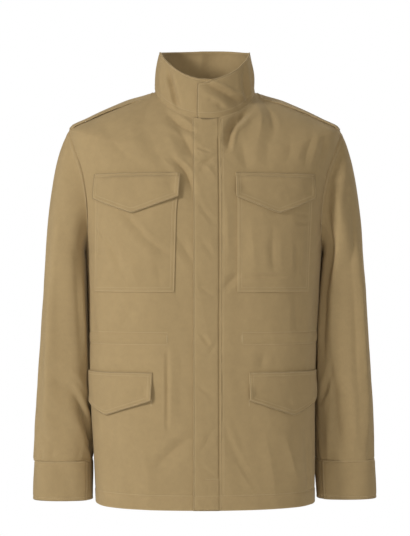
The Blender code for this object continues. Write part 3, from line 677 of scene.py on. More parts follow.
def laid(name, cloth, u, v, thickness, slot, flat, area, across=None):
    """A piece from its grid of places on a cloth. Its UV is in metres along and up the cloth."""
    points = cloth.at(u, v)
    uv = np.stack([u if across is None else across, metres_down(points)], axis=-1)
    piece = cloth_piece(name, points, cloth.facing(cloth.form, u, v), thickness, uv)
    hang(piece, name, slot, flat, area)


def front_grid(side):
    """Places from the centre to the edge, a share of the width of each row."""
    v = np.broadcast_to(FRONT_ROWS[:, None], (len(FRONT_ROWS), len(FRONT_SHARES)))
    edge = front_edge(side, v) - SEAM_GAP / 2
    return SIDES[side] * (SEAM_GAP / 2 + FRONT_SHARES[None, :] * (edge - SEAM_GAP / 2)), v


for side in SIDES:
    laid("front_" + side, front_cloth, *front_grid(side), CLOTH, "twill", flat=(0.33, 0.74), area=0.195)

v = np.broadcast_to(BACK_ROWS[:, None], (len(BACK_ROWS), len(BACK_SHARES)))
u = BACK_SHARES[None, :] * (np.interp(-v, -EDGE_HEIGHTS, BACK_EDGE) - SEAM_GAP / 2)
laid("back", back_cloth, u, v, CLOTH, "twill", flat=(0.62, 0.74), area=0.39)

# %% [markdown]
# ## Sleeves
#
# A sleeve is a tube. From the armhole to just below the armpit each of its lines is a Hermite
# curve: it leaves the seam sideways over the shoulder, and arrives hanging down. From there the
# rings of a table carry it to the cuff. One coordinate turns round the tube in degrees, from the
# outside (0) over the front (90) to the underarm (180). The other runs from 0 at the armhole
# through 1 at the first ring to 2 at the cuff.

# %% Sleeve form
SleeveRing = namedtuple("SleeveRing", "height inner_right inner_left outer middle half_depth square")
SLEEVE_RINGS = (
    SleeveRing(-0.300, 0.2045, 0.2005, 0.2780, 0.014, 0.080, 2.9),
    SleeveRing(-0.360, 0.2025, 0.1965, 0.2830, 0.017, 0.071, 3.2),
    SleeveRing(-0.430, 0.1998, 0.1932, 0.2870, 0.016, 0.063, 3.3),
    SleeveRing(-0.550, 0.1965, 0.1918, 0.2945, 0.012, 0.055, 3.1),
    SleeveRing(-0.640, 0.1952, 0.1938, 0.2975, 0.008, 0.046, 2.7),
    SleeveRing(-0.708, 0.1950, 0.1962, 0.2992, 0.002, 0.040, 2.5),
)
SLEEVE_TOP, SLEEVE_BELOW, CUFF_FOOT, CUFF_DEPTH = -0.300, -0.335, -0.708, 0.069
CUFF_TOP = CUFF_FOOT + CUFF_DEPTH
Leave = namedtuple("Leave", "side out forward down reach")
SLEEVE_LEAVES = (
    Leave("top", 0.090, 0.0, 0.150, 0.240),
    Leave("front", 0.064, 0.028, 0.075, 0.170),
    Leave("under", 0.020, 0.0, 0.002, 0.022),
    Leave("back", 0.050, -0.060, 0.075, 0.170),
)
SLEEVE_RADIUS, SEAM_TUCK = 0.055, 0.0020
FULL_TURN = 2 * np.pi * SLEEVE_RADIUS


def turn_length(degrees):
    """The arc of the mean sleeve circle: angle times radius."""
    return np.radians(degrees) * SLEEVE_RADIUS


def sleeve_ring_point(side, turns, height):
    """A squared ellipse between the ring's inner and outer sides, behind the side seam."""
    column = {field: smooth_column(SLEEVE_RINGS, field, height) for field in SleeveRing._fields[1:]}
    inner, sine, cosine = column["inner_" + side], np.sin(np.radians(turns)), np.cos(np.radians(turns))
    exponent = 2 / column["square"]
    x = (column["outer"] + inner) / 2 + (column["outer"] - inner) / 2 * power(cosine, exponent)
    y = column["middle"] - column["half_depth"] * power(sine, exponent)
    return np.stack(np.broadcast_arrays(SIDES[side] * x, y, height), axis=-1)


def leave_weights(turns):
    """Shares of the top, front, underarm and back tangents, which add up to 1."""
    sine, cosine = np.sin(np.radians(turns)), np.cos(np.radians(turns))
    beside = sine**2 / 2
    return np.stack([((1 + cosine) / 2) ** 2, np.where(sine > 0, beside, 0.0),
                     ((1 - cosine) / 2) ** 2, np.where(sine > 0, 0.0, beside)], axis=-1)


def armhole_point(side, turns):
    """The armhole's seam: half way down the front of the loop and back up behind."""
    cosine, sine = np.cos(np.radians(turns)), np.sin(np.radians(turns))
    level = SHOULDER_POINT + (1 - cosine) / 2 * (ARMPIT - SHOULDER_POINT)
    cut = np.where(sine >= 0, -armhole_cut(level, ARMHOLE_FRONT), armhole_cut(level, ARMHOLE_BACK))
    return torso_point(SIDES[side] * (90.0 + cut), level)


def sleeve_form(side):
    def form(turns, down):
        """Hermite curves to the first ring, and then the table's rings."""
        turns, down = np.broadcast_arrays(turns, np.clip(down, 0.0, 2.0))
        weights = leave_weights(turns)
        tangents = np.array([[SIDES[side] * row.out, -row.forward, -row.down] for row in SLEEVE_LEAVES])
        leave = weights @ tangents
        first = sleeve_ring_point(side, turns, SLEEVE_TOP)
        below = sleeve_ring_point(side, turns, SLEEVE_BELOW)
        arrive = (weights @ np.array([row.reach for row in SLEEVE_LEAVES]))[..., None] * unit(below - first)
        start = armhole_point(side, turns) - SEAM_TUCK * unit(leave)
        t = np.minimum(down, 1.0)[..., None]
        cap = start * (2 * t**3 - 3 * t**2 + 1) + leave * (t**3 - 2 * t**2 + t)
        cap = cap + first * (3 * t**2 - 2 * t**3) + arrive * (t**3 - t**2)
        height = SLEEVE_TOP + np.clip(down - 1, 0.0, 1.0) * (CUFF_TOP - 0.003 - SLEEVE_TOP)
        arm = sleeve_ring_point(side, turns, height)
        return np.where(down[..., None] < 1.0, cap, arm)
    return form


# %% [markdown]
# The main creases of a sleeve gather at the elbow and above the cuff, and a few run down from the
# shoulder. They are given by distance round the tube and by height, and each sleeve has its own.

# %% Sleeve creases and sleeves
SLEEVE_CREASES = {
    "right": (
        Crease(0.084, -0.508, 0.170, -0.636, 0.0100, -0.0150, -0.006, 0.3, 0.2),
        Crease(0.092, -0.480, 0.140, -0.545, 0.0110, 0.0022, -0.004),
        Crease(0.120, -0.520, 0.165, -0.575, 0.0080, -0.0026, -0.004),
        Crease(0.132, -0.610, 0.160, -0.632, 0.0045, -0.0022),
        Crease(0.142, -0.596, 0.165, -0.612, 0.0040, -0.0016),
        Crease(0.050, -0.180, 0.118, -0.300, 0.0120, -0.0007, 0.006),
        Crease(0.075, -0.240, 0.088, -0.480, 0.0110, -0.0007, 0.004),
        Crease(0.030, -0.330, 0.040, -0.560, 0.0160, -0.0014),
        Crease(0.058, -0.380, 0.062, -0.600, 0.0140, 0.0014),
        Crease(0.020, -0.560, 0.070, -0.610, 0.0130, -0.0014),
        Crease(0.124, -0.290, 0.132, -0.470, 0.0090, 0.0030, 0.003),
        Crease(0.300, -0.250, 0.235, -0.400, 0.0150, -0.0040, -0.005),
        Crease(0.270, -0.330, 0.215, -0.460, 0.0120, -0.0030, -0.005),
        Crease(0.250, -0.470, 0.205, -0.590, 0.0110, -0.0044, 0.005),
        Crease(0.290, -0.430, 0.220, -0.500, 0.0120, -0.0034, 0.006),
        Crease(0.230, -0.560, 0.195, -0.620, 0.0090, -0.0026),
        Crease(0.300, -0.520, 0.285, -0.625, 0.0140, -0.0020),
    ),
    "left": (
        Crease(0.044, -0.104, 0.102, -0.222, 0.0110, -0.0150, -0.002, -0.25, 0.1),
        Crease(0.100, -0.215, 0.122, -0.330, 0.0100, -0.0080, -0.002, -0.2, -0.2),
        Crease(0.070, -0.150, 0.092, -0.300, 0.0110, 0.0030, -0.002),
        Crease(0.104, -0.480, 0.0975, -0.560, 0.0070, -0.0036, 0.002, 0.25, 0.1),
        Crease(0.0975, -0.555, 0.0900, -0.622, 0.0075, -0.0040, 0.0, 0.2, -0.1),
        Crease(0.106, -0.486, 0.130, -0.535, 0.0070, -0.0036, 0.002, -0.2),
        Crease(0.112, -0.560, 0.118, -0.630, 0.0090, 0.0024),
        Crease(0.070, -0.470, 0.078, -0.600, 0.0120, 0.0020),
        Crease(0.048, -0.190, 0.080, -0.300, 0.0130, -0.0034, 0.004),
        Crease(0.079, -0.295, 0.073, -0.600, 0.0110, -0.0030, 0.003, 0.2),
        Crease(0.100, -0.230, 0.106, -0.440, 0.0120, 0.0026, -0.003),
        Crease(0.052, -0.320, 0.048, -0.580, 0.0140, 0.0016),
        Crease(0.030, -0.260, 0.026, -0.520, 0.0150, -0.0022, 0.004),
        Crease(0.128, -0.290, 0.124, -0.450, 0.0100, -0.0030),
        Crease(0.144, -0.300, 0.142, -0.560, 0.0090, 0.0016),
        Crease(0.298, -0.240, 0.240, -0.390, 0.0150, -0.0040, -0.005),
        Crease(0.262, -0.350, 0.210, -0.470, 0.0120, -0.0032, 0.005),
        Crease(0.255, -0.480, 0.200, -0.585, 0.0110, -0.0042, 0.005),
        Crease(0.292, -0.440, 0.225, -0.510, 0.0130, -0.0030, 0.006),
        Crease(0.225, -0.570, 0.195, -0.622, 0.0090, -0.0028),
        Crease(0.310, -0.500, 0.290, -0.620, 0.0140, -0.0020),
    ),
}
CUFF_TUCKS = (0.012, 0.047, 0.071, 0.110, 0.149, 0.205, 0.238, 0.281, 0.322)


def sleeve_lift(side):
    tucks = tuple(Crease(u, CUFF_TOP + 0.002, u + 0.004, CUFF_TOP + 0.020 + 0.1 * (u % 0.05), 0.0045,
                         -0.0004 - 0.01 * (u % 0.05), 0.0, 0.0, -0.3) for u in CUFF_TUCKS)

    def lift(turns, down, form):
        """Creases round the tube, which carry on over the line where the turn starts again."""
        u, z = turn_length(turns % 360.0), form[..., 2]
        folds = sum(crease_lift(SLEEVE_CREASES[side] + tucks, u + wrap, z) for wrap in (0.0, -FULL_TURN))
        around = np.sin(np.radians(turns)) * 0.09
        folds = folds + waves(around, z, 0.0010, 21 + SIDES[side]) * (1 + 0.3 * np.cos(np.radians(turns)))
        fade = smooth_step(down, 0.0, 0.12)
        puckers = 0.0005 * np.sin(turns * 0.42 + 2 * np.sin(turns * 0.11)) * bell(down - 0.03, 0.035)
        armhole = -0.0012 * bell(down, 0.014)
        foot = -0.0008 * smooth_step(down, 1.984, 1.994)
        underarm = -0.0006 * bell(turn_length((turns % 360.0) - 180.0), 0.0022)
        return fade * folds + puckers * smooth_step(down, 0.0, 0.01) + armhole + foot + underarm
    return lift


TURNS = np.linspace(0.0, 360.0, 105)[:-1]
SLEEVE_DOWNS = np.concatenate([
    spaced(0.0, 1.0, 0.016, fine=0.004, reach=0.03),
    spaced(1.0, 2.0, 0.0105, fine=0.0035, reach=0.02)[1:],
])
sleeve_cloth = {}
for side, sign in SIDES.items():
    sleeve_cloth[side] = Cloth(sleeve_form(side), sleeve_lift(side), 1.2, 0.006, outward=sign)
    turns, down = np.meshgrid(TURNS, SLEEVE_DOWNS)
    points = sleeve_cloth[side].at(turns, down)
    uv = np.stack([turn_length(turns), metres_down(points)], axis=-1)
    outward = sleeve_cloth[side].facing(sleeve_cloth[side].form, turns, down)
    piece = cloth_piece("sleeve_" + side, points, outward, CLOTH, uv, around=FULL_TURN)
    hang(piece, "sleeve_" + side, "twill", flat=(0.40, 0.60), area=0.175)


# %% [markdown]
# ## Pieces laid on the fronts
#
# A pocket or a flap is a layer on the front: the same form and creases, with a lift of its own.
# Every line of stitching pulls its cloth in along a fine groove, and between the lines the cloth
# swells a little. That swelling is what makes a flap look sewn and not printed.


# %% Layers
def layer(cloth, extra):
    """A cloth laid on another one: its lift is added to the one below."""
    return Cloth(cloth.form, lambda u, v, form: cloth.lift(u, v, form) + extra(u, v),
                 cloth.step_u, cloth.step_v, cloth.outward)


def drawn_in(distance, *lines):
    """The grooves along lines of stitching at these distances from an edge, the first the deepest."""
    return -sum(0.00060 / (1 + place) * bell(distance - line, 0.0012) for place, line in enumerate(lines))


Station = namedtuple("Station", "height inner point outer")
STATIONS = {
    "right": (
        Station(CHEST_FLAP_TOP, 0.047, 0.1225, 0.197),
        Station(CHEST_FLAP_POINT, 0.0530, 0.127, 0.202),
        Station(CHEST_POCKET_FOOT, 0.0563, 0.134, 0.2125),
        Station(HIP_FLAP_TOP, 0.0930, 0.180, 0.2665),
        Station(HIP_FLAP_POINT, 0.0960, 0.1830, 0.2665),
    ),
    "left": (
        Station(CHEST_FLAP_TOP, 0.049, 0.1215, 0.190),
        Station(CHEST_FLAP_POINT, 0.0495, 0.1205, 0.189),
        Station(CHEST_POCKET_FOOT, 0.0492, 0.118, 0.186),
        Station(HIP_FLAP_TOP, 0.0695, 0.1510, 0.2330),
        Station(HIP_FLAP_POINT, 0.0701, 0.1515, 0.2330),
    ),
}


def pocket_lines(side, v):
    """The pocket's inner edge, point and outer edge at a height, from the centre front."""
    depths = [-row.height for row in STATIONS[side]]
    return [np.interp(-v, depths, [getattr(row, field) for row in STATIONS[side]])
            for field in ("inner", "point", "outer")]


# %% [markdown]
# The chest pockets puff out in the middle and keep the marks of what was carried in them.

# %% Chest pockets
POCKET_CREASES = {
    "right": (
        Crease(-0.146, -0.212, -0.104, -0.257, 0.0070, -0.0026, -0.002, 0.2),
        Crease(-0.106, -0.255, -0.070, -0.281, 0.0070, -0.0020, 0.001, 0.2),
        Crease(-0.174, -0.258, -0.147, -0.309, 0.0075, -0.0022, -0.002),
        Crease(-0.203, -0.242, -0.188, -0.259, 0.0040, -0.0014),
        Crease(-0.208, -0.283, -0.191, -0.283, 0.0040, -0.0014),
        Crease(-0.130, -0.290, -0.118, -0.335, 0.0120, 0.0014),
        Crease(-0.085, -0.300, -0.078, -0.340, 0.0090, -0.0010),
    ),
    "left": (
        Crease(0.064, -0.320, 0.131, -0.320, 0.0035, -0.0013, 0.001),
        Crease(0.153, -0.276, 0.153, -0.316, 0.0040, -0.0012, 0.001),
        Crease(0.155, -0.217, 0.178, -0.217, 0.0030, -0.0009),
        Crease(0.155, -0.231, 0.178, -0.231, 0.0030, -0.0009),
        Crease(0.110, -0.250, 0.110, -0.305, 0.0080, -0.0016, 0.002),
        Crease(0.072, -0.240, 0.078, -0.300, 0.0090, 0.0010),
        Crease(0.168, -0.240, 0.166, -0.330, 0.0080, 0.0009),
    ),
}
POCKET_PUFF = {"right": 0.0034, "left": 0.0026}
INNER_LINE, OUTER_LINE = 0.0070, 0.0020
pocket_cloth = {}


def pocket_body(side, u, v):
    """The pocket's lift without its stitching, and the distance to its sewn edges."""
    inner, _, outer = pocket_lines(side, v)
    across = SIDES[side] * u
    to_edge = np.minimum(np.minimum(across - inner, outer - across), v - CHEST_POCKET_FOOT)
    puff = POCKET_PUFF[side] * smooth_step(to_edge, 0.004, 0.045)
    folds = crease_lift(POCKET_CREASES[side], u, v) * smooth_step(to_edge, 0.0, 0.008)
    return LIFT + CLOTH + puff + folds, to_edge


def chest_pocket(side):
    """The patch: rows down, and columns as shares between its inner and outer line."""
    def extra(u, v):
        body, to_edge = pocket_body(side, u, v)
        return body + drawn_in(to_edge, OUTER_LINE, INNER_LINE)

    pocket_cloth[side] = layer(front_cloth, extra)
    rows = spaced(CHEST_FLAP_TOP - 0.010, CHEST_POCKET_FOOT, 0.0023, fine=0.0009, reach=0.012)
    columns = spaced(0.0, 0.145, 0.0023, fine=0.0009, reach=0.012) / 0.145
    v = np.broadcast_to(rows[:, None], (len(rows), len(columns)))
    inner, _, outer = pocket_lines(side, v)
    u = SIDES[side] * (inner + columns[None, :] * (outer - inner))
    laid("chest_pocket_" + side, pocket_cloth[side], u, v, CLOTH, "twill", flat=(0.165, 0.215), area=0.0305)


for side in SIDES:
    chest_pocket(side)

# %% [markdown]
# A flap hangs from its sewn top edge. Its lower edge runs down to a soft point, where a hidden
# press fastener holds it, so the point lies flat and the two corners curl up a little.


# %% Flaps
Flap = namedtuple("Flap", "top corner point over overhang curl_in curl_out")
CHEST_FLAP = (CHEST_FLAP_TOP, CHEST_FLAP_SIDE, CHEST_FLAP_POINT, True, 0.002)
HIP_FLAP = (HIP_FLAP_TOP, HIP_FLAP_SIDE, HIP_FLAP_POINT, False, 0.0)
FLAPS = {
    ("chest", "right"): Flap(*CHEST_FLAP, curl_in=0.0032, curl_out=0.0026),
    ("chest", "left"): Flap(*CHEST_FLAP, curl_in=0.0032, curl_out=0.0030),
    ("hip", "right"): Flap(*HIP_FLAP, curl_in=0.0046, curl_out=0.0020),
    ("hip", "left"): Flap(*HIP_FLAP, curl_in=0.0044, curl_out=0.0016),
}
FLAP_CORNER, POINT_ROUND, SNAP_ABOVE = 0.08, 0.045, 0.025
# A distance across the sloping foot is this share of the distance straight up
FOOT_SLOPE = 0.945
flap_cloth = {}


def flap_share(side, flap, u, v):
    """Where a place lies across the flap: 0 at its inner edge and 1 at its outer one."""
    inner, _, outer = pocket_lines(side, v)
    return (SIDES[side] * u - inner + flap.overhang) / (outer - inner + 2 * flap.overhang)


def flap_foot(flap, share):
    """The height of the lower edge: two straight sides that meet in a rounded point."""
    off = np.sqrt((2 * share - 1) ** 2 + POINT_ROUND**2) - POINT_ROUND
    drop = FLAP_CORNER + (1 - FLAP_CORNER) * (1 - np.clip(off, 0.0, 1.0))
    return flap.corner + (flap.point - flap.corner) * drop


def flap_lift(side, flap):
    def extra(u, v):
        """Lift over the front or the pocket, curl at the free edges, stitching and the fastener."""
        inner, point, outer = pocket_lines(side, v)
        share = flap_share(side, flap, u, v)
        width = outer - inner
        to_side = np.minimum(share, 1 - share) * width
        to_foot = (v - flap_foot(flap, share)) * FOOT_SLOPE
        to_free = np.minimum(to_side, to_foot)
        below = flap.top - v
        lift = LIFT + DOUBLE_CLOTH + 0.0007 * smooth_step(to_free, 0.004, 0.030)
        if flap.over:
            body, _ = pocket_body(side, u, v)
            lift = lift + smooth_step(below, 0.003, 0.013) * np.maximum(body, LIFT + CLOTH)
        curl = flap.curl_in + (flap.curl_out - flap.curl_in) * share
        corners = np.clip(np.abs(2 * share - 1), 0.0, 1.0) ** 1.5
        near_free = 1 - smooth_step(to_free, 0.0, 0.014)
        lift = lift + curl * (0.45 + 0.55 * corners) * near_free * smooth_step(below, 0.010, 0.034)
        snap_v = flap.point + SNAP_ABOVE
        snap = np.sqrt((SIDES[side] * u - point) ** 2 + (v - snap_v) ** 2)
        lift = lift + 0.0003 * smooth_step(-snap, -0.0095, -0.0045) - 0.0002 * bell(snap - 0.0100, 0.0030)
        return lift + drawn_in(to_free, OUTER_LINE, INNER_LINE) + drawn_in(below, 0.006)
    return extra


def pocket_flap(place, side):
    """Rows run as shares of the way down from the top edge to the pointed foot."""
    flap = FLAPS[place, side]
    cloth = flap_cloth[place, side] = layer(front_cloth, flap_lift(side, flap))
    inner, _, outer = (float(line) for line in pocket_lines(side, flap.corner))
    across = spaced(0.0, outer - inner, 0.0022, fine=0.0008, reach=0.012) / (outer - inner)
    share, down = np.meshgrid(across, spaced(0.0, 0.060, 0.0022, fine=0.0008, reach=0.010) / 0.060)
    v = flap.top + down * (flap_foot(flap, share) - flap.top)
    inner, _, outer = pocket_lines(side, v)
    u = SIDES[side] * (inner - flap.overhang + share * (outer - inner + 2 * flap.overhang))
    laid(f"{place}_flap_{side}", cloth, u, v, DOUBLE_CLOTH, "twill_doubled",
         flat=(outer.max() - inner.min() + 0.015, 0.085), area=0.0115 if place == "hip" else 0.0100)


for place, side in FLAPS:
    pocket_flap(place, side)

# %% [markdown]
# ## Placket
#
# The fly front is a doubled strip. Its free edge lies to the wearer's right of the centre, and on
# the other side a line of stitching holds the layers together, turning in at the foot. The strip
# has short diagonal wrinkles of its own, because its layers shrink at different rates.

# %% Placket
FLY_LINE, FLY_FOOT, FLY_TURN = 0.0182, -0.659, -0.005
PLACKET_CREASES = (
    Crease(-0.020, -0.058, 0.002, -0.073, 0.0040, -0.0011),
    Crease(0.012, -0.085, -0.014, -0.150, 0.0065, -0.0010, 0.001),
    Crease(-0.006, -0.120, 0.012, -0.160, 0.0060, 0.0009),
    Crease(0.006, -0.098, -0.016, -0.128, 0.0050, -0.0008),
    Crease(-0.012, -0.205, 0.006, -0.228, 0.0045, -0.0009),
    Crease(-0.010, -0.262, 0.010, -0.290, 0.0050, -0.0007),
    Crease(-0.014, -0.340, 0.008, -0.352, 0.0040, -0.0007),
    Crease(-0.010, -0.419, 0.002, -0.436, 0.0040, -0.0012),
    Crease(0.014, -0.432, 0.002, -0.452, 0.0040, -0.0008),
    Crease(-0.014, -0.505, 0.004, -0.520, 0.0050, -0.0007),
    Crease(0.008, -0.580, -0.012, -0.612, 0.0060, -0.0007),
    Crease(-0.010, -0.640, 0.012, -0.655, 0.0045, -0.0007),
)


def placket_lift(u, v):
    """The strip swells between its stitch lines and keeps a lower, flat band beyond the fly's line."""
    line = smooth_step(-v, 0.036, 0.042) * smooth_step(v, FLY_FOOT - 0.002, FLY_FOOT + 0.002)
    groove = -0.0013 * bell(u - FLY_LINE, 0.0012) * line
    turned = smooth_step(u, FLY_TURN - 0.002, FLY_TURN + 0.002)
    turned = turned * smooth_step(-u, -FLY_LINE, 0.002 - FLY_LINE)
    groove = groove - 0.0008 * bell(v - FLY_FOOT, 0.0015) * turned
    band = -0.0010 * smooth_step(u, FLY_LINE - 0.001, FLY_LINE + 0.001) - placket_bed(u)
    edge = smooth_step(u, PLACKET_HALF - 0.0014, PLACKET_HALF - 0.0002)
    band = band - (0.0004 + 0.0004 * line) * edge
    swell = 0.0008 * (1 - ((u + 0.003) / 0.022) ** 2).clip(-0.3)
    snap = np.sqrt((u + 0.007) ** 2 + (v + 0.674) ** 2)
    pucker = 0.00016 * np.sin(v * 610 + 3 * np.sin(v * 47)) * bell(u - FLY_LINE + 0.004, 0.006)
    wrinkles = crease_lift(PLACKET_CREASES, u, v) + waves(u * 2, v, 0.0004, 14)
    return (BRIDGE_LIFT + DOUBLE_CLOTH + swell + wrinkles + groove + band + pucker
            + 0.0006 * smooth_step(-snap, -0.008, -0.0055)
            + drawn_in(u + PLACKET_HALF, 0.0030))


placket_cloth = layer(front_cloth, placket_lift)
u, v = np.meshgrid(spaced(-PLACKET_HALF, PLACKET_HALF, 0.0020, (FLY_LINE,), 0.0008, 0.005),
                   spaced(-0.0018, HEM, 0.0028, (FLY_FOOT,)))
laid("placket", placket_cloth, u, v, DOUBLE_CLOTH, "twill_doubled", flat=(0.050, 0.70), area=0.035)

# %% [markdown]
# ## Shoulder straps
#
# Each strap lies along the shoulder seam. It has its own measure, from the side line forwards and
# back, so it bends over the shoulder together with the cloth below it.

# %% Straps
strap_cloth = {}


def strap_end(across):
    """The ring height of the strap's blunt point, a little lower to both sides."""
    return -0.0012 - 0.003 * np.abs(across) / EPAULETTE_HALF


def strap_lift(across, v, form):
    """Swollen between its stitch lines, low at the collar and at the sleeve."""
    near = EPAULETTE_HALF - np.abs(across)
    to_point = (strap_end(across) - v) * 2.7
    swell = 0.0006 * smooth_step(near, 0.004, 0.018)
    puckers = 0.00025 * np.sin(v * 900 + 2 * np.sin(v * 160)) * bell(near - 0.006, 0.006)
    ends = -0.0029 * (1 - smooth_step(-v, 0.004, 0.020)) - 0.0022 * smooth_step(-v, 0.060, 0.066)
    return 0.0031 + swell + puckers + ends + drawn_in(np.minimum(near, to_point), 0.0050)


for side, sign in SIDES.items():
    measure = Round(90.0 * sign, sign)
    strap_cloth[side] = Cloth(round_form(measure), strap_lift, 0.0012, 0.0006, sign)
    across, share = np.meshgrid(spaced(-EPAULETTE_HALF, EPAULETTE_HALF, 0.0024, fine=0.0009, reach=0.008),
                                spaced(0.0, 0.056, 0.0011, fine=0.0004, reach=0.003) / 0.056)
    v = strap_end(across) + share * (-0.0660 - strap_end(across))
    laid("epaulette_" + side, strap_cloth[side], across, v, DOUBLE_CLOTH, "twill_doubled",
         flat=(0.052, 0.135), area=0.0069)

# %% [markdown]
# ## Collar and cuffs
#
# Both are doubled bands that go round a little more than once. The band starts on top of its own
# other end and comes down to the seam line as it runs on.

# %% Collar
COLLAR_RADIUS = 0.083
COLLAR_ROUND = 2 * np.pi * COLLAR_RADIUS
COLLAR_START = float(from_front.angle(np.array(-0.0177), np.array(0.0)))
COLLAR_END = 360.0 + float(from_front.angle(np.array(0.020), np.array(0.0)))
LAP_STEP, LAP_FADE = 0.0024, 60.0
COLLAR_CREASES = (
    Crease(-0.006, 0.0630, 0.034, 0.0385, 0.0065, -0.0075, -0.001, 0.35, 0.3),
    Crease(0.032, 0.0395, 0.076, 0.0060, 0.0065, -0.0080, 0.002, 0.35, -0.2),
    Crease(0.004, 0.0330, 0.009, 0.0300, 0.0035, -0.0012),
    Crease(0.018, 0.0220, 0.026, 0.0150, 0.0040, -0.0014),
    Crease(-0.076, 0.0560, -0.064, 0.0320, 0.0070, -0.0090, 0.002, -0.35),
    Crease(-0.065, 0.0330, -0.053, 0.0100, 0.0065, -0.0090, 0.001, -0.35),
    Crease(0.080, 0.0600, 0.085, 0.0040, 0.0085, -0.0110, 0.002, 0.2, 0.2),
    Crease(0.110, 0.0600, 0.116, 0.0100, 0.0110, 0.0016),
    Crease(-0.100, 0.0640, -0.094, 0.0100, 0.0110, 0.0014),
    Crease(0.150, 0.0700, 0.160, 0.0150, 0.0120, -0.0018, 0.003),
    Crease(0.205, 0.0600, 0.192, 0.0100, 0.0130, -0.0016, -0.003),
    Crease(0.262, 0.0720, 0.272, 0.0200, 0.0120, -0.0020, 0.002),
    Crease(0.325, 0.0640, 0.318, 0.0120, 0.0120, -0.0018),
    Crease(0.375, 0.0620, 0.385, 0.0150, 0.0110, 0.0016),
)


def collar_form(angle, share):
    """A straight rise from the neckline to the rim, with a little belly."""
    foot = torso_point(angle, np.zeros(np.shape(angle))) + np.array([0.0, 0.0, SEAM_GAP])
    share = share[..., None]
    return foot * (1 - share) + ring_point(angle, COLLAR_RIM) * share


def lap_step(run):
    """The step on top of the other end, eased to nothing by a cubic."""
    near = np.clip(1 - run / LAP_FADE, 0.0, 1.0)
    return LAP_STEP * near**2 * (3 - 2 * near)


def collar_height(angle):
    """The length of the collar from the neckline to the rim, in metres."""
    foot, rim = torso_point(angle, np.zeros(np.shape(angle))), ring_point(angle, COLLAR_RIM)
    return np.linalg.norm(rim - foot, axis=-1)


def collar_top(angle):
    """The share at which the rim lies: the top corner of the free end droops."""
    run = np.radians(angle - COLLAR_START) * COLLAR_RADIUS
    return 1.0 - 0.13 * (1 - smooth_step(run, -0.004, 0.046)) - 0.03 * bell(run - 0.30, 0.05)


def collar_lift(angle, share, form):
    """Folds, low waves and stitch grooves, with a step where the ends lap."""
    u = np.radians(angle) * COLLAR_RADIUS
    up = share * collar_height(angle)
    folds = sum(crease_lift(COLLAR_CREASES, u + wrap, up) for wrap in (0.0, -COLLAR_ROUND, COLLAR_ROUND))
    around = np.radians(angle)
    folds = folds + 0.0006 * np.sin(3 * around + 1) + 0.0004 * np.sin(7 * around + 8 * share)
    below_rim = (collar_top(angle) - share) * collar_height(angle)
    to_end = np.minimum(angle - COLLAR_START, COLLAR_END - angle) * np.pi / 180 * COLLAR_RADIUS
    lines = drawn_in(below_rim, 0.0035) + drawn_in(up, 0.0085) + drawn_in(to_end, 0.0035)
    belly = 0.0016 * np.sin(np.pi * np.clip(share, 0.0, 1.0))
    return folds * smooth_step(up, 0.0, 0.008) + lap_step(angle - COLLAR_START) + belly + lines


collar_cloth = Cloth(collar_form, collar_lift, 0.8, 0.012)
angle, up = np.meshgrid(
    COLLAR_START + np.degrees(spaced(0.0, np.radians(COLLAR_END - COLLAR_START) * COLLAR_RADIUS, 0.0026,
                                     fine=0.0009) / COLLAR_RADIUS),
    spaced(0.0, 0.075, 0.0024, (0.0085, 0.0715), 0.0009, 0.004)[::-1] / 0.075)
laid("collar", collar_cloth, angle, (up * 1.03 - 0.03) * collar_top(angle), DOUBLE_CLOTH, "twill_doubled",
     flat=(0.56, 0.082), area=0.042, across=np.radians(angle) * COLLAR_RADIUS)

# %% [markdown]
# A cuff is nearly level with the sleeve above it, and its seam shows only as a fine line. Its ends
# lap in front of the wrist, on the side next to the body.

# %% Cuffs
CUFF_START, CUFF_SWEEP, CUFF_EASE = 139.0, -402.0, 0.0002
cuff_cloth = {}


def cuff_form(side):
    def form(turns, share):
        """A straight rise between two rings, eased out from their middle."""
        foot, rim = sleeve_ring_point(side, turns, CUFF_FOOT), sleeve_ring_point(side, turns, CUFF_TOP)
        centre = np.array([SIDES[side] * 0.2465, 0.003, 0.0])
        outward = unit((foot - centre) * np.array([1.0, 1.0, 0.0]))
        share = share[..., None]
        return foot * (1 - share) + rim * share + CUFF_EASE * outward
    return form


def cuff_lift(side):
    def lift(turns, share, form):
        run, up = np.abs(turns - CUFF_START), share * CUFF_DEPTH
        around = np.radians(turns)
        low = 0.0004 * np.sin(2 * around + SIDES[side]) + 0.0004 * np.sin(5 * around + 5 * share)
        press = -0.0010 * bell(turn_length((turns % 360.0) - 96.0) + 0.3 * (up - 0.03), 0.008)
        to_end = np.minimum(run, -CUFF_SWEEP - run) * np.pi / 180 * SLEEVE_RADIUS
        lines = drawn_in(up, 0.0055) + drawn_in(CUFF_DEPTH - up, 0.0030) + drawn_in(to_end, 0.0035)
        lines = lines - 0.0008 * smooth_step(up, CUFF_DEPTH - 0.006, CUFF_DEPTH)
        return low + press + lap_step(run) + lines + 0.0005 * np.sin(np.pi * np.clip(share, 0.0, 1.0))
    return lift


for side, sign in SIDES.items():
    cloth = cuff_cloth[side] = Cloth(cuff_form(side), cuff_lift(side), 1.0, 0.015, outward=-sign)
    rows = spaced(0.0, CUFF_DEPTH, 0.0026, (0.0055, 0.066), 0.0009, 0.004)[::-1]
    run, up = np.meshgrid(spaced(0.0, turn_length(-CUFF_SWEEP), 0.0028, fine=0.0010), rows / CUFF_DEPTH)
    laid("cuff_" + side, cloth, CUFF_START - np.degrees(run / SLEEVE_RADIUS), up, DOUBLE_CLOTH,
         "twill_doubled", flat=(0.31, 0.082), area=0.0250, across=run)


# %% [markdown]
# ## Stitches
#
# A stitch is a tiny rounded bar, 14 points and 24 triangles. A line of stitching is a path over a
# cloth: the path is measured in space, and a bar is set down at every 3.2 mm with its ends sunk in
# the groove. The arrays of a whole line are made at once.

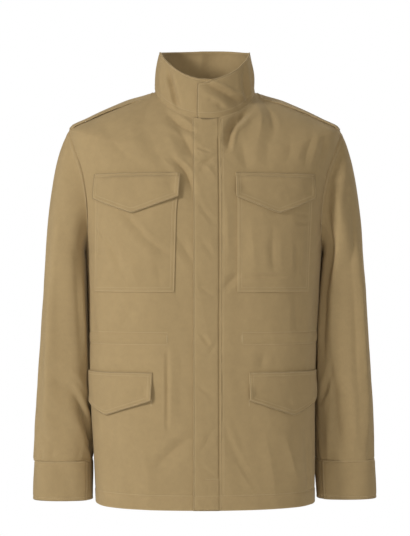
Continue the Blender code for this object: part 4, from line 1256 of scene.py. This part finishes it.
# %% Stitches
PITCH, STITCH = 0.0032, 0.0025
around = np.arange(6)
after = (around + 1) % 6
hexagon = 0.5 * np.stack([np.zeros(6), np.cos(np.pi / 3 * around), np.sin(np.pi / 3 * around)], axis=-1)
tips = np.array([[-0.5, 0.0, -0.45], [0.5, 0.0, -0.45]])
BAR = np.concatenate([tips[:1], hexagon - [0.32, 0.0, 0.0], hexagon + [0.32, 0.0, 0.0], tips[1:]])
BAR_FACES = np.concatenate([
    np.stack([np.zeros(6, int), 1 + after, 1 + around], axis=-1),
    np.stack([1 + around, 1 + after, 7 + after], axis=-1),
    np.stack([1 + around, 7 + after, 7 + around], axis=-1),
    np.stack([np.full(6, 13), 7 + around, 7 + after], axis=-1),
])


def sew(name, cloth, path, pitch=PITCH, length=STITCH, width=0.00070, height=0.00046):
    """Stitches along a path of places on a cloth, kept for the piece of that name."""
    path = np.array(path, float)
    legs = np.maximum(np.linalg.norm(np.diff(path, axis=0), axis=1), 1e-9)
    spots = np.concatenate([[0.0], np.cumsum(legs)])
    fine = np.linspace(0.0, spots[-1], max(8, 60 * (len(path) - 1), 900 if len(path) < 4 else 0))
    u, v = (np.interp(fine, spots, path[:, axis]) for axis in (0, 1))
    points = cloth.at(u, v, 0.00016)
    run = np.concatenate([[0.0], np.cumsum(np.linalg.norm(np.diff(points, axis=0), axis=1))])
    centres = np.arange(pitch / 2, max(run[-1], pitch * 0.6), pitch)
    put = [np.stack([np.interp(centres + shift, run, points[:, axis]) for axis in range(3)], axis=-1)
           for shift in (-length / 2, 0.0, length / 2)]
    at_u, at_v = np.interp(centres, run, u), np.interp(centres, run, v)
    up = cloth.normal(at_u, at_v)
    ahead = unit(put[2] - put[0])
    aside = np.cross(up, ahead)
    bars = (put[1][:, None] + BAR[None, :, :1] * length * ahead[:, None]
            + BAR[None, :, 1:2] * width * aside[:, None] + BAR[None, :, 2:] * height * up[:, None])
    stitching.setdefault(name, []).append(bars.reshape(-1, 3))


def bar_tack(name, cloth, u, v, over, down):
    """A short dense row of cross stitches that holds a corner."""
    for share in np.linspace(0.0, 1.0, 10):
        u0, v0 = u + share * over, v + share * down
        side = 0.0011 * np.array([down, -over]) / np.hypot(over, down)
        sew(name, cloth, [(u0 - side[0], v0 - side[1]), (u0 + side[0], v0 + side[1])], pitch=0.002,
            length=0.0021)


def span(start, end, count=40):
    """Even steps from start to end."""
    return np.linspace(start, end, count)


def count_stitches():
    """All the bars so far."""
    return sum(len(bars) for lines in stitching.values() for bars in lines) // len(BAR)


# %% [markdown]
# The panels come first: the waist's channel, the hem, and bar tacks where a seam takes strain. The
# front under the fly has one long line beside the placket.

# %% Stitches on the panels
for side, sign in SIDES.items():
    name = "front_" + side
    for height in (WAIST_TOP, WAIST_FOOT, HEM_STITCH):
        begin = PLACKET_HALF + 0.0015 if height == HEM_STITCH else WAIST_END[side]
        edge = float(front_edge(side, height)) - 0.0012
        sew(name, front_cloth, [(sign * begin, height), (sign * edge, height)])
    end = sign * WAIST_END[side]
    sew(name, front_cloth, [(end, WAIST_TOP), (end, WAIST_FOOT)])
    bar_tack(name, front_cloth, end, WAIST_FOOT + 0.006, 0.0, 0.009)
    bar_tack(name, front_cloth, sign * (pocket_lines(side, -0.566)[0] - 0.0005), -0.5275, 0.0, -0.010)

sew("front_left", front_cloth, [(0.0268, -0.004), (0.0268, HEM_STITCH)])
for height in (WAIST_TOP, WAIST_FOOT, HEM_STITCH):
    edge = float(np.interp(-height, -EDGE_HEIGHTS, BACK_EDGE)) - 0.0012
    sew("back", back_cloth, [(-edge, height), (edge, height)])
print(count_stitches(), "stitches on the panels")


# %% [markdown]
# Pockets and flaps have twin lines, 2 mm and 7 mm in from the edge. On a flap the lines follow the
# two free sides and the pointed foot, and two more hold its top.


# %% Stitches on the pockets and flaps
def sew_pocket(side):
    """Twin lines down one side, round the foot and up the other side."""
    for line in (OUTER_LINE, INNER_LINE):
        rows = span(CHEST_FLAP_TOP - 0.012, CHEST_POCKET_FOOT + line)
        inner, _, outer = pocket_lines(side, rows)
        left, right = SIDES[side] * (inner + line), SIDES[side] * (outer - line)
        path = [*zip(left, rows), *zip(right[::-1], rows[::-1])]
        sew("chest_pocket_" + side, pocket_cloth[side], path)


def sew_flap(place, side):
    """Twin lines round the three free edges, and two lines along the top."""
    flap, cloth, sign = FLAPS[place, side], flap_cloth[place, side], SIDES[side]
    name = f"{place}_flap_{side}"
    inner, _, outer = (float(line) for line in pocket_lines(side, flap.corner))
    width = outer - inner + 2 * flap.overhang
    for line in (OUTER_LINE, INNER_LINE):
        shares = span(line / width, 1 - line / width, 61)
        foot = flap_foot(flap, shares) + line / FOOT_SLOPE
        edges = pocket_lines(side, foot)
        low = edges[0] - flap.overhang + shares * (edges[2] - edges[0] + 2 * flap.overhang)
        rows = span(flap.top - 0.0015, foot[0], 12)
        left = pocket_lines(side, rows)[0] - flap.overhang + line
        right = pocket_lines(side, rows)[2] + flap.overhang - line
        path = [*zip(sign * left, rows), *zip(sign * low, foot), *zip(sign * right[::-1], rows[::-1])]
        sew(name, cloth, path)
    inner, _, outer = pocket_lines(side, flap.top - 0.006)
    for below, inset in ((0.006, INNER_LINE), (0.0018, 0.003)):
        top = flap.top - below
        sew(name, cloth, [(sign * (inner + inset), top), (sign * (outer - inset), top)])


for side in SIDES:
    sew_pocket(side)
    for place in ("chest", "hip"):
        sew_flap(place, side)
print(count_stitches(), "stitches with the pockets and flaps")

# %% [markdown]
# The placket, the straps, the armholes, the cuffs and the collar have single lines near their
# edges. The end of the collar that lies on top is closed with thicker thread.

# %% Stitches on the bands
FREE_EDGE = -PLACKET_HALF + 0.0030
sew("placket", placket_cloth, [(FREE_EDGE, -0.004), (FREE_EDGE, HEM + 0.004)])
sew("placket", placket_cloth, [(FLY_LINE - 0.001, FLY_FOOT), (FLY_TURN, FLY_FOOT)])
sew("placket", placket_cloth, [(0.0215, -0.0385), (0.0215, HEM + 0.004)])
sew("placket", placket_cloth, [(FREE_EDGE + 0.001, HEM_STITCH), (PLACKET_HALF - 0.002, HEM_STITCH)])

STRAP_LINE, STRAP_FOOT = EPAULETTE_HALF - 0.0050, -0.0655
across = span(-STRAP_LINE, STRAP_LINE, 9)
point = [*zip(across, strap_end(across) - 0.0050 / 2.7)]
strap_path = [(-STRAP_LINE, STRAP_FOOT), *point, (STRAP_LINE, STRAP_FOOT)]
cuff_turns = CUFF_START - 3.6 - np.degrees(span(0.0, turn_length(-CUFF_SWEEP) - 0.046, 120) / SLEEVE_RADIUS)
for side in SIDES:
    sew("epaulette_" + side, strap_cloth[side], strap_path)
    for down in (0.0408, 0.0552):
        sew("sleeve_" + side, sleeve_cloth[side], [(turn, down) for turn in span(-172.0, 172.0, 120)],
            pitch=0.0034)
    for up in (0.0055, CUFF_DEPTH - 0.0030):
        sew("cuff_" + side, cuff_cloth[side], [(turn, up / CUFF_DEPTH) for turn in cuff_turns])
    sew("cuff_" + side, cuff_cloth[side], [(CUFF_START - 3.6, 0.08), (CUFF_START - 3.6, 0.957)])

seam = span(COLLAR_START + 2.4, COLLAR_END - 20.0, 160)
height = collar_height(seam)
rim = collar_top(seam) - 0.0035 / height
sew("collar", collar_cloth, [*zip(seam, rim)])
sew("collar", collar_cloth, [*zip(seam, 0.0085 / height)])
sew("collar", collar_cloth, [(seam[0], 0.03), (seam[0], float(rim[0]))],
    pitch=0.0042, length=0.0032, width=0.0012, height=0.0008)
print(count_stitches(), "stitches in all")

# %% [markdown]
# ## Shaders in Python
#
# A `Value` wraps one output socket and answers to the signs of arithmetic, so a formula in a shader
# reads as a formula. Every other node comes from one method that takes its type, its settings and
# its inputs.


# %% Shader classes
class Value:
    """A number that varies over a surface, with arithmetic."""

    def __init__(self, shader, socket):
        self.shader, self.socket = shader, socket

    def math(self, operation, *others, clamp=False):
        made = self.shader.tree.nodes.new("ShaderNodeMath")
        made.operation, made.use_clamp = operation, clamp
        for place, value in enumerate((self, *others)):
            self.shader.put(made.inputs[place], value)
        return Value(self.shader, made.outputs[0])

    def reflected(self, operation, first):
        made = self.shader.tree.nodes.new("ShaderNodeMath")
        made.operation = operation
        made.inputs[0].default_value = first
        self.shader.put(made.inputs[1], self)
        return Value(self.shader, made.outputs[0])

    def __add__(self, other):
        return self.math("ADD", other)

    def __mul__(self, other):
        return self.math("MULTIPLY", other)

    def __sub__(self, other):
        return self.math("SUBTRACT", other)

    def __truediv__(self, other):
        return self.math("DIVIDE", other)

    def __radd__(self, first):
        return self.reflected("ADD", first)

    def __rmul__(self, first):
        return self.reflected("MULTIPLY", first)

    def __rsub__(self, first):
        return self.reflected("SUBTRACT", first)

    def sine(self):
        return self.math("SINE")

    def clipped(self, low=0.0, high=1.0):
        return self.math("MAXIMUM", low).math("MINIMUM", high)


class Shader:
    """One material, with a Principled surface and one way to add any node."""

    def __init__(self, name, **constants):
        self.material = bpy.data.materials.new(name)
        self.material.use_nodes = True
        self.tree = self.material.node_tree
        self.surface = self.tree.nodes["Principled BSDF"]
        for key, value in constants.items():
            self.surface.inputs[key.replace("_", " ")].default_value = value

    def put(self, socket, value):
        """A constant or another node's output into an input."""
        if isinstance(value, Value):
            value = value.socket
        if isinstance(value, bpy.types.NodeSocket):
            self.tree.links.new(value, socket)
        else:
            socket.default_value = value

    def node(self, kind, settings=(), output=0, **inputs):
        made = self.tree.nodes.new("ShaderNode" + kind)
        for key, value in dict(settings).items():
            setattr(made, key, value)
        for key, value in inputs.items():
            self.put(made.inputs[key.replace("_", " ")], value)
        return Value(self, made.outputs[output])

    def mix(self, share, first, second):
        """Two colours mixed by a share from 0 to 1."""
        made = self.tree.nodes.new("ShaderNodeMix")
        made.data_type = "RGBA"
        self.put(made.inputs[0], share)
        self.put(made.inputs[6], first)
        self.put(made.inputs[7], second)
        return Value(self, made.outputs[2])


# %% [markdown]
# ## Twill
#
# Cotton twill is matt, with a faint lustre from its fibres, which is the sheen. Its weave is a fine
# diagonal rib every 0.7 mm. The dye has worn unevenly: broad cloudy patches, a finer mottle, and a
# paler line where an edge has rubbed. All of it is worked out from metres on the cloth.

# %% Materials
def twill(name, colour, worn, rib=0.00070):
    """The weave is a sine across the diagonal and a weaker one across the weft."""
    shader = Shader(name, Roughness=0.86, Sheen_Weight=0.22, Sheen_Roughness=0.45, Specular_IOR_Level=0.22)
    shader.surface.inputs["Sheen Tint"].default_value = (0.98, 0.86, 0.62, 1.0)
    uv = shader.node("UVMap", {"uv_map": "cloth_metres"})
    parts = shader.tree.nodes.new("ShaderNodeSeparateXYZ")
    shader.put(parts.inputs[0], uv)
    x, y = Value(shader, parts.outputs[0]), Value(shader, parts.outputs[1])
    place = Value(shader, shader.tree.nodes.new("ShaderNodeTexCoord").outputs["Object"])

    def noise(scale, detail=2.0, rough=0.55, vector=place):
        return shader.node("TexNoise", Vector=vector, Scale=scale, Detail=detail, Roughness=rough)

    cloudy, mottle = noise(11.0, 3.0), noise(90.0, 3.0, 0.6)
    slub = noise(1.0, 1.0, 0.5, shader.node("CombineXYZ", X=x * 1500.0, Y=y * 160.0))
    edge = shader.node("Attribute", {"attribute_name": "edge_distance"}, output=2)
    rubbed = (1.0 - edge * 420.0).clipped() * (0.35 + noise(160.0) * 0.9)
    faded = (cloudy * 0.45 + mottle * 0.45 + slub * 0.35 - 0.18 + rubbed * 0.35).clipped()
    shade = shader.mix(faded, (*[c * 0.83 for c in colour], 1.0), (*[c * 1.17 for c in colour], 1.0))
    shade = shader.mix((rubbed * 0.5).clipped(), shade, (*worn, 1.0))
    shader.put(shader.surface.inputs["Base Color"], shade)
    diagonal = ((x * 0.89 + y * 0.46) * (2 * np.pi / rib)).sine()
    weft = (y * (2 * np.pi / 0.00046)).sine()
    height = diagonal * 0.5 + weft * 0.2 + slub * 0.6 + mottle * 1.1
    bump = shader.node("Bump", Strength=0.70, Distance=0.00022, Height=height)
    shader.put(shader.surface.inputs["Normal"], bump)
    return shader.material


KHAKI, KHAKI_WORN, THREAD = (0.415, 0.298, 0.148), (0.540, 0.410, 0.225), (0.530, 0.408, 0.230)
cloth_material = twill("khaki_twill", KHAKI, KHAKI_WORN)
doubled_material = twill("khaki_twill_doubled", [c * 0.985 for c in KHAKI], KHAKI_WORN)
thread_shader = Shader("thread", Roughness=0.6, Sheen_Weight=0.1)
thread_shader.surface.inputs["Base Color"].default_value = (*THREAD, 1.0)

# %% [markdown]
# ## Dressing the pieces
#
# Each piece takes its material, and its stitches become one object that goes with it.

# %% Dressing
for name, (piece, slot) in shown.items():
    piece.data.materials.append(doubled_material if slot == "twill_doubled" else cloth_material)
    lines, with_pieces = stitching.get(name, []), []
    if lines:
        bars = np.concatenate(lines)
        starts = len(BAR) * np.arange(len(bars) // len(BAR))
        faces = (BAR_FACES[None] + starts[:, None, None]).reshape(-1, 3)
        thread = mesh_object("stitches_" + name, bars, faces)
        thread.data.materials.append(thread_shader.material)
        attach(thread, "root")
        with_pieces = [thread]
print(len(shown), "pieces of cloth and", len(stitching), "sets of stitches")

# %% [markdown]
# ## Studio
#
# A pale floor lies well below the jacket. The key light is soft and stands in front and far to the
# left, so folds that run down show best. A wide weak light fills from the front, and one behind
# serves the views of the back. The world is white to the camera and a dim warm light to the cloth.

# %% Stage and lights
FLOOR = -1.46
bpy.ops.mesh.primitive_plane_add(size=7.0, location=(0.0, 0.0, FLOOR))
floor = bpy.context.object
floor.name = "floor"
floor_shader = Shader("floor", Roughness=0.9)
floor_shader.surface.inputs["Base Color"].default_value = (0.86, 0.86, 0.86, 1.0)
floor.data.materials.append(floor_shader.material)

world = bpy.data.worlds.new("studio")
world.use_nodes = True
bpy.context.scene.world = world
tree = world.node_tree
backdrop, ambient = tree.nodes["Background"], tree.nodes.new("ShaderNodeBackground")
backdrop.inputs["Color"].default_value = (1.0, 1.0, 1.0, 1.0)
ambient.inputs["Color"].default_value = (1.0, 0.95, 0.86, 1.0)
ambient.inputs["Strength"].default_value = 0.31
ray, chosen = tree.nodes.new("ShaderNodeLightPath"), tree.nodes.new("ShaderNodeMixShader")
tree.links.new(ray.outputs["Is Camera Ray"], chosen.inputs[0])
tree.links.new(ambient.outputs[0], chosen.inputs[1])
tree.links.new(backdrop.outputs[0], chosen.inputs[2])
tree.links.new(chosen.outputs[0], tree.nodes["World Output"].inputs["Surface"])


def area_light(name, place, target, size, power):
    """A rectangle of light, turned from its place towards a target."""
    light = bpy.data.lights.new(name, "AREA")
    light.shape, light.size, light.size_y, light.energy = "RECTANGLE", size[0], size[1], power
    lamp = bpy.data.objects.new(name, light)
    lamp.location = place
    aim = np.array(target, float) - np.array(place, float)
    lamp.rotation_euler = (np.arctan2(np.hypot(aim[0], aim[1]), -aim[2]), 0.0, np.arctan2(-aim[0], aim[1]))
    bpy.context.scene.collection.objects.link(lamp)
    return lamp


area_light("key", (-2.75, -2.0, 0.75), (0.0, 0.0, -0.35), (0.6, 0.8), 74.0)
area_light("front", (0.9, -3.7, 0.2), (0.0, 0.0, -0.5), (1.8, 1.2), 27.0)
area_light("behind", (1.2, 3.0, 1.5), (0.0, 0.0, -0.35), (2.0, 1.6), 60.0)
bpy.context.scene.view_settings.view_transform = "Standard"

# %% [markdown]
# ## Camera
#
# A long lens stands three metres away, level with the middle of the jacket and two degrees to its
# side. From that far the outline hardly widens towards the viewer.

# %% Camera
camera = bpy.data.cameras.new("camera")
camera.lens, camera.sensor_width, camera.clip_start, camera.clip_end = 115.4, 36.0, 0.05, 200.0
view = bpy.data.objects.new("camera", camera)
TURN = np.radians(-2.1)
view.location = (3.0 * np.sin(TURN), -3.0 * np.cos(TURN), -0.307)
view.rotation_euler = (np.pi / 2, 0.0, TURN)
bpy.context.scene.collection.objects.link(view)
bpy.context.scene.camera = view
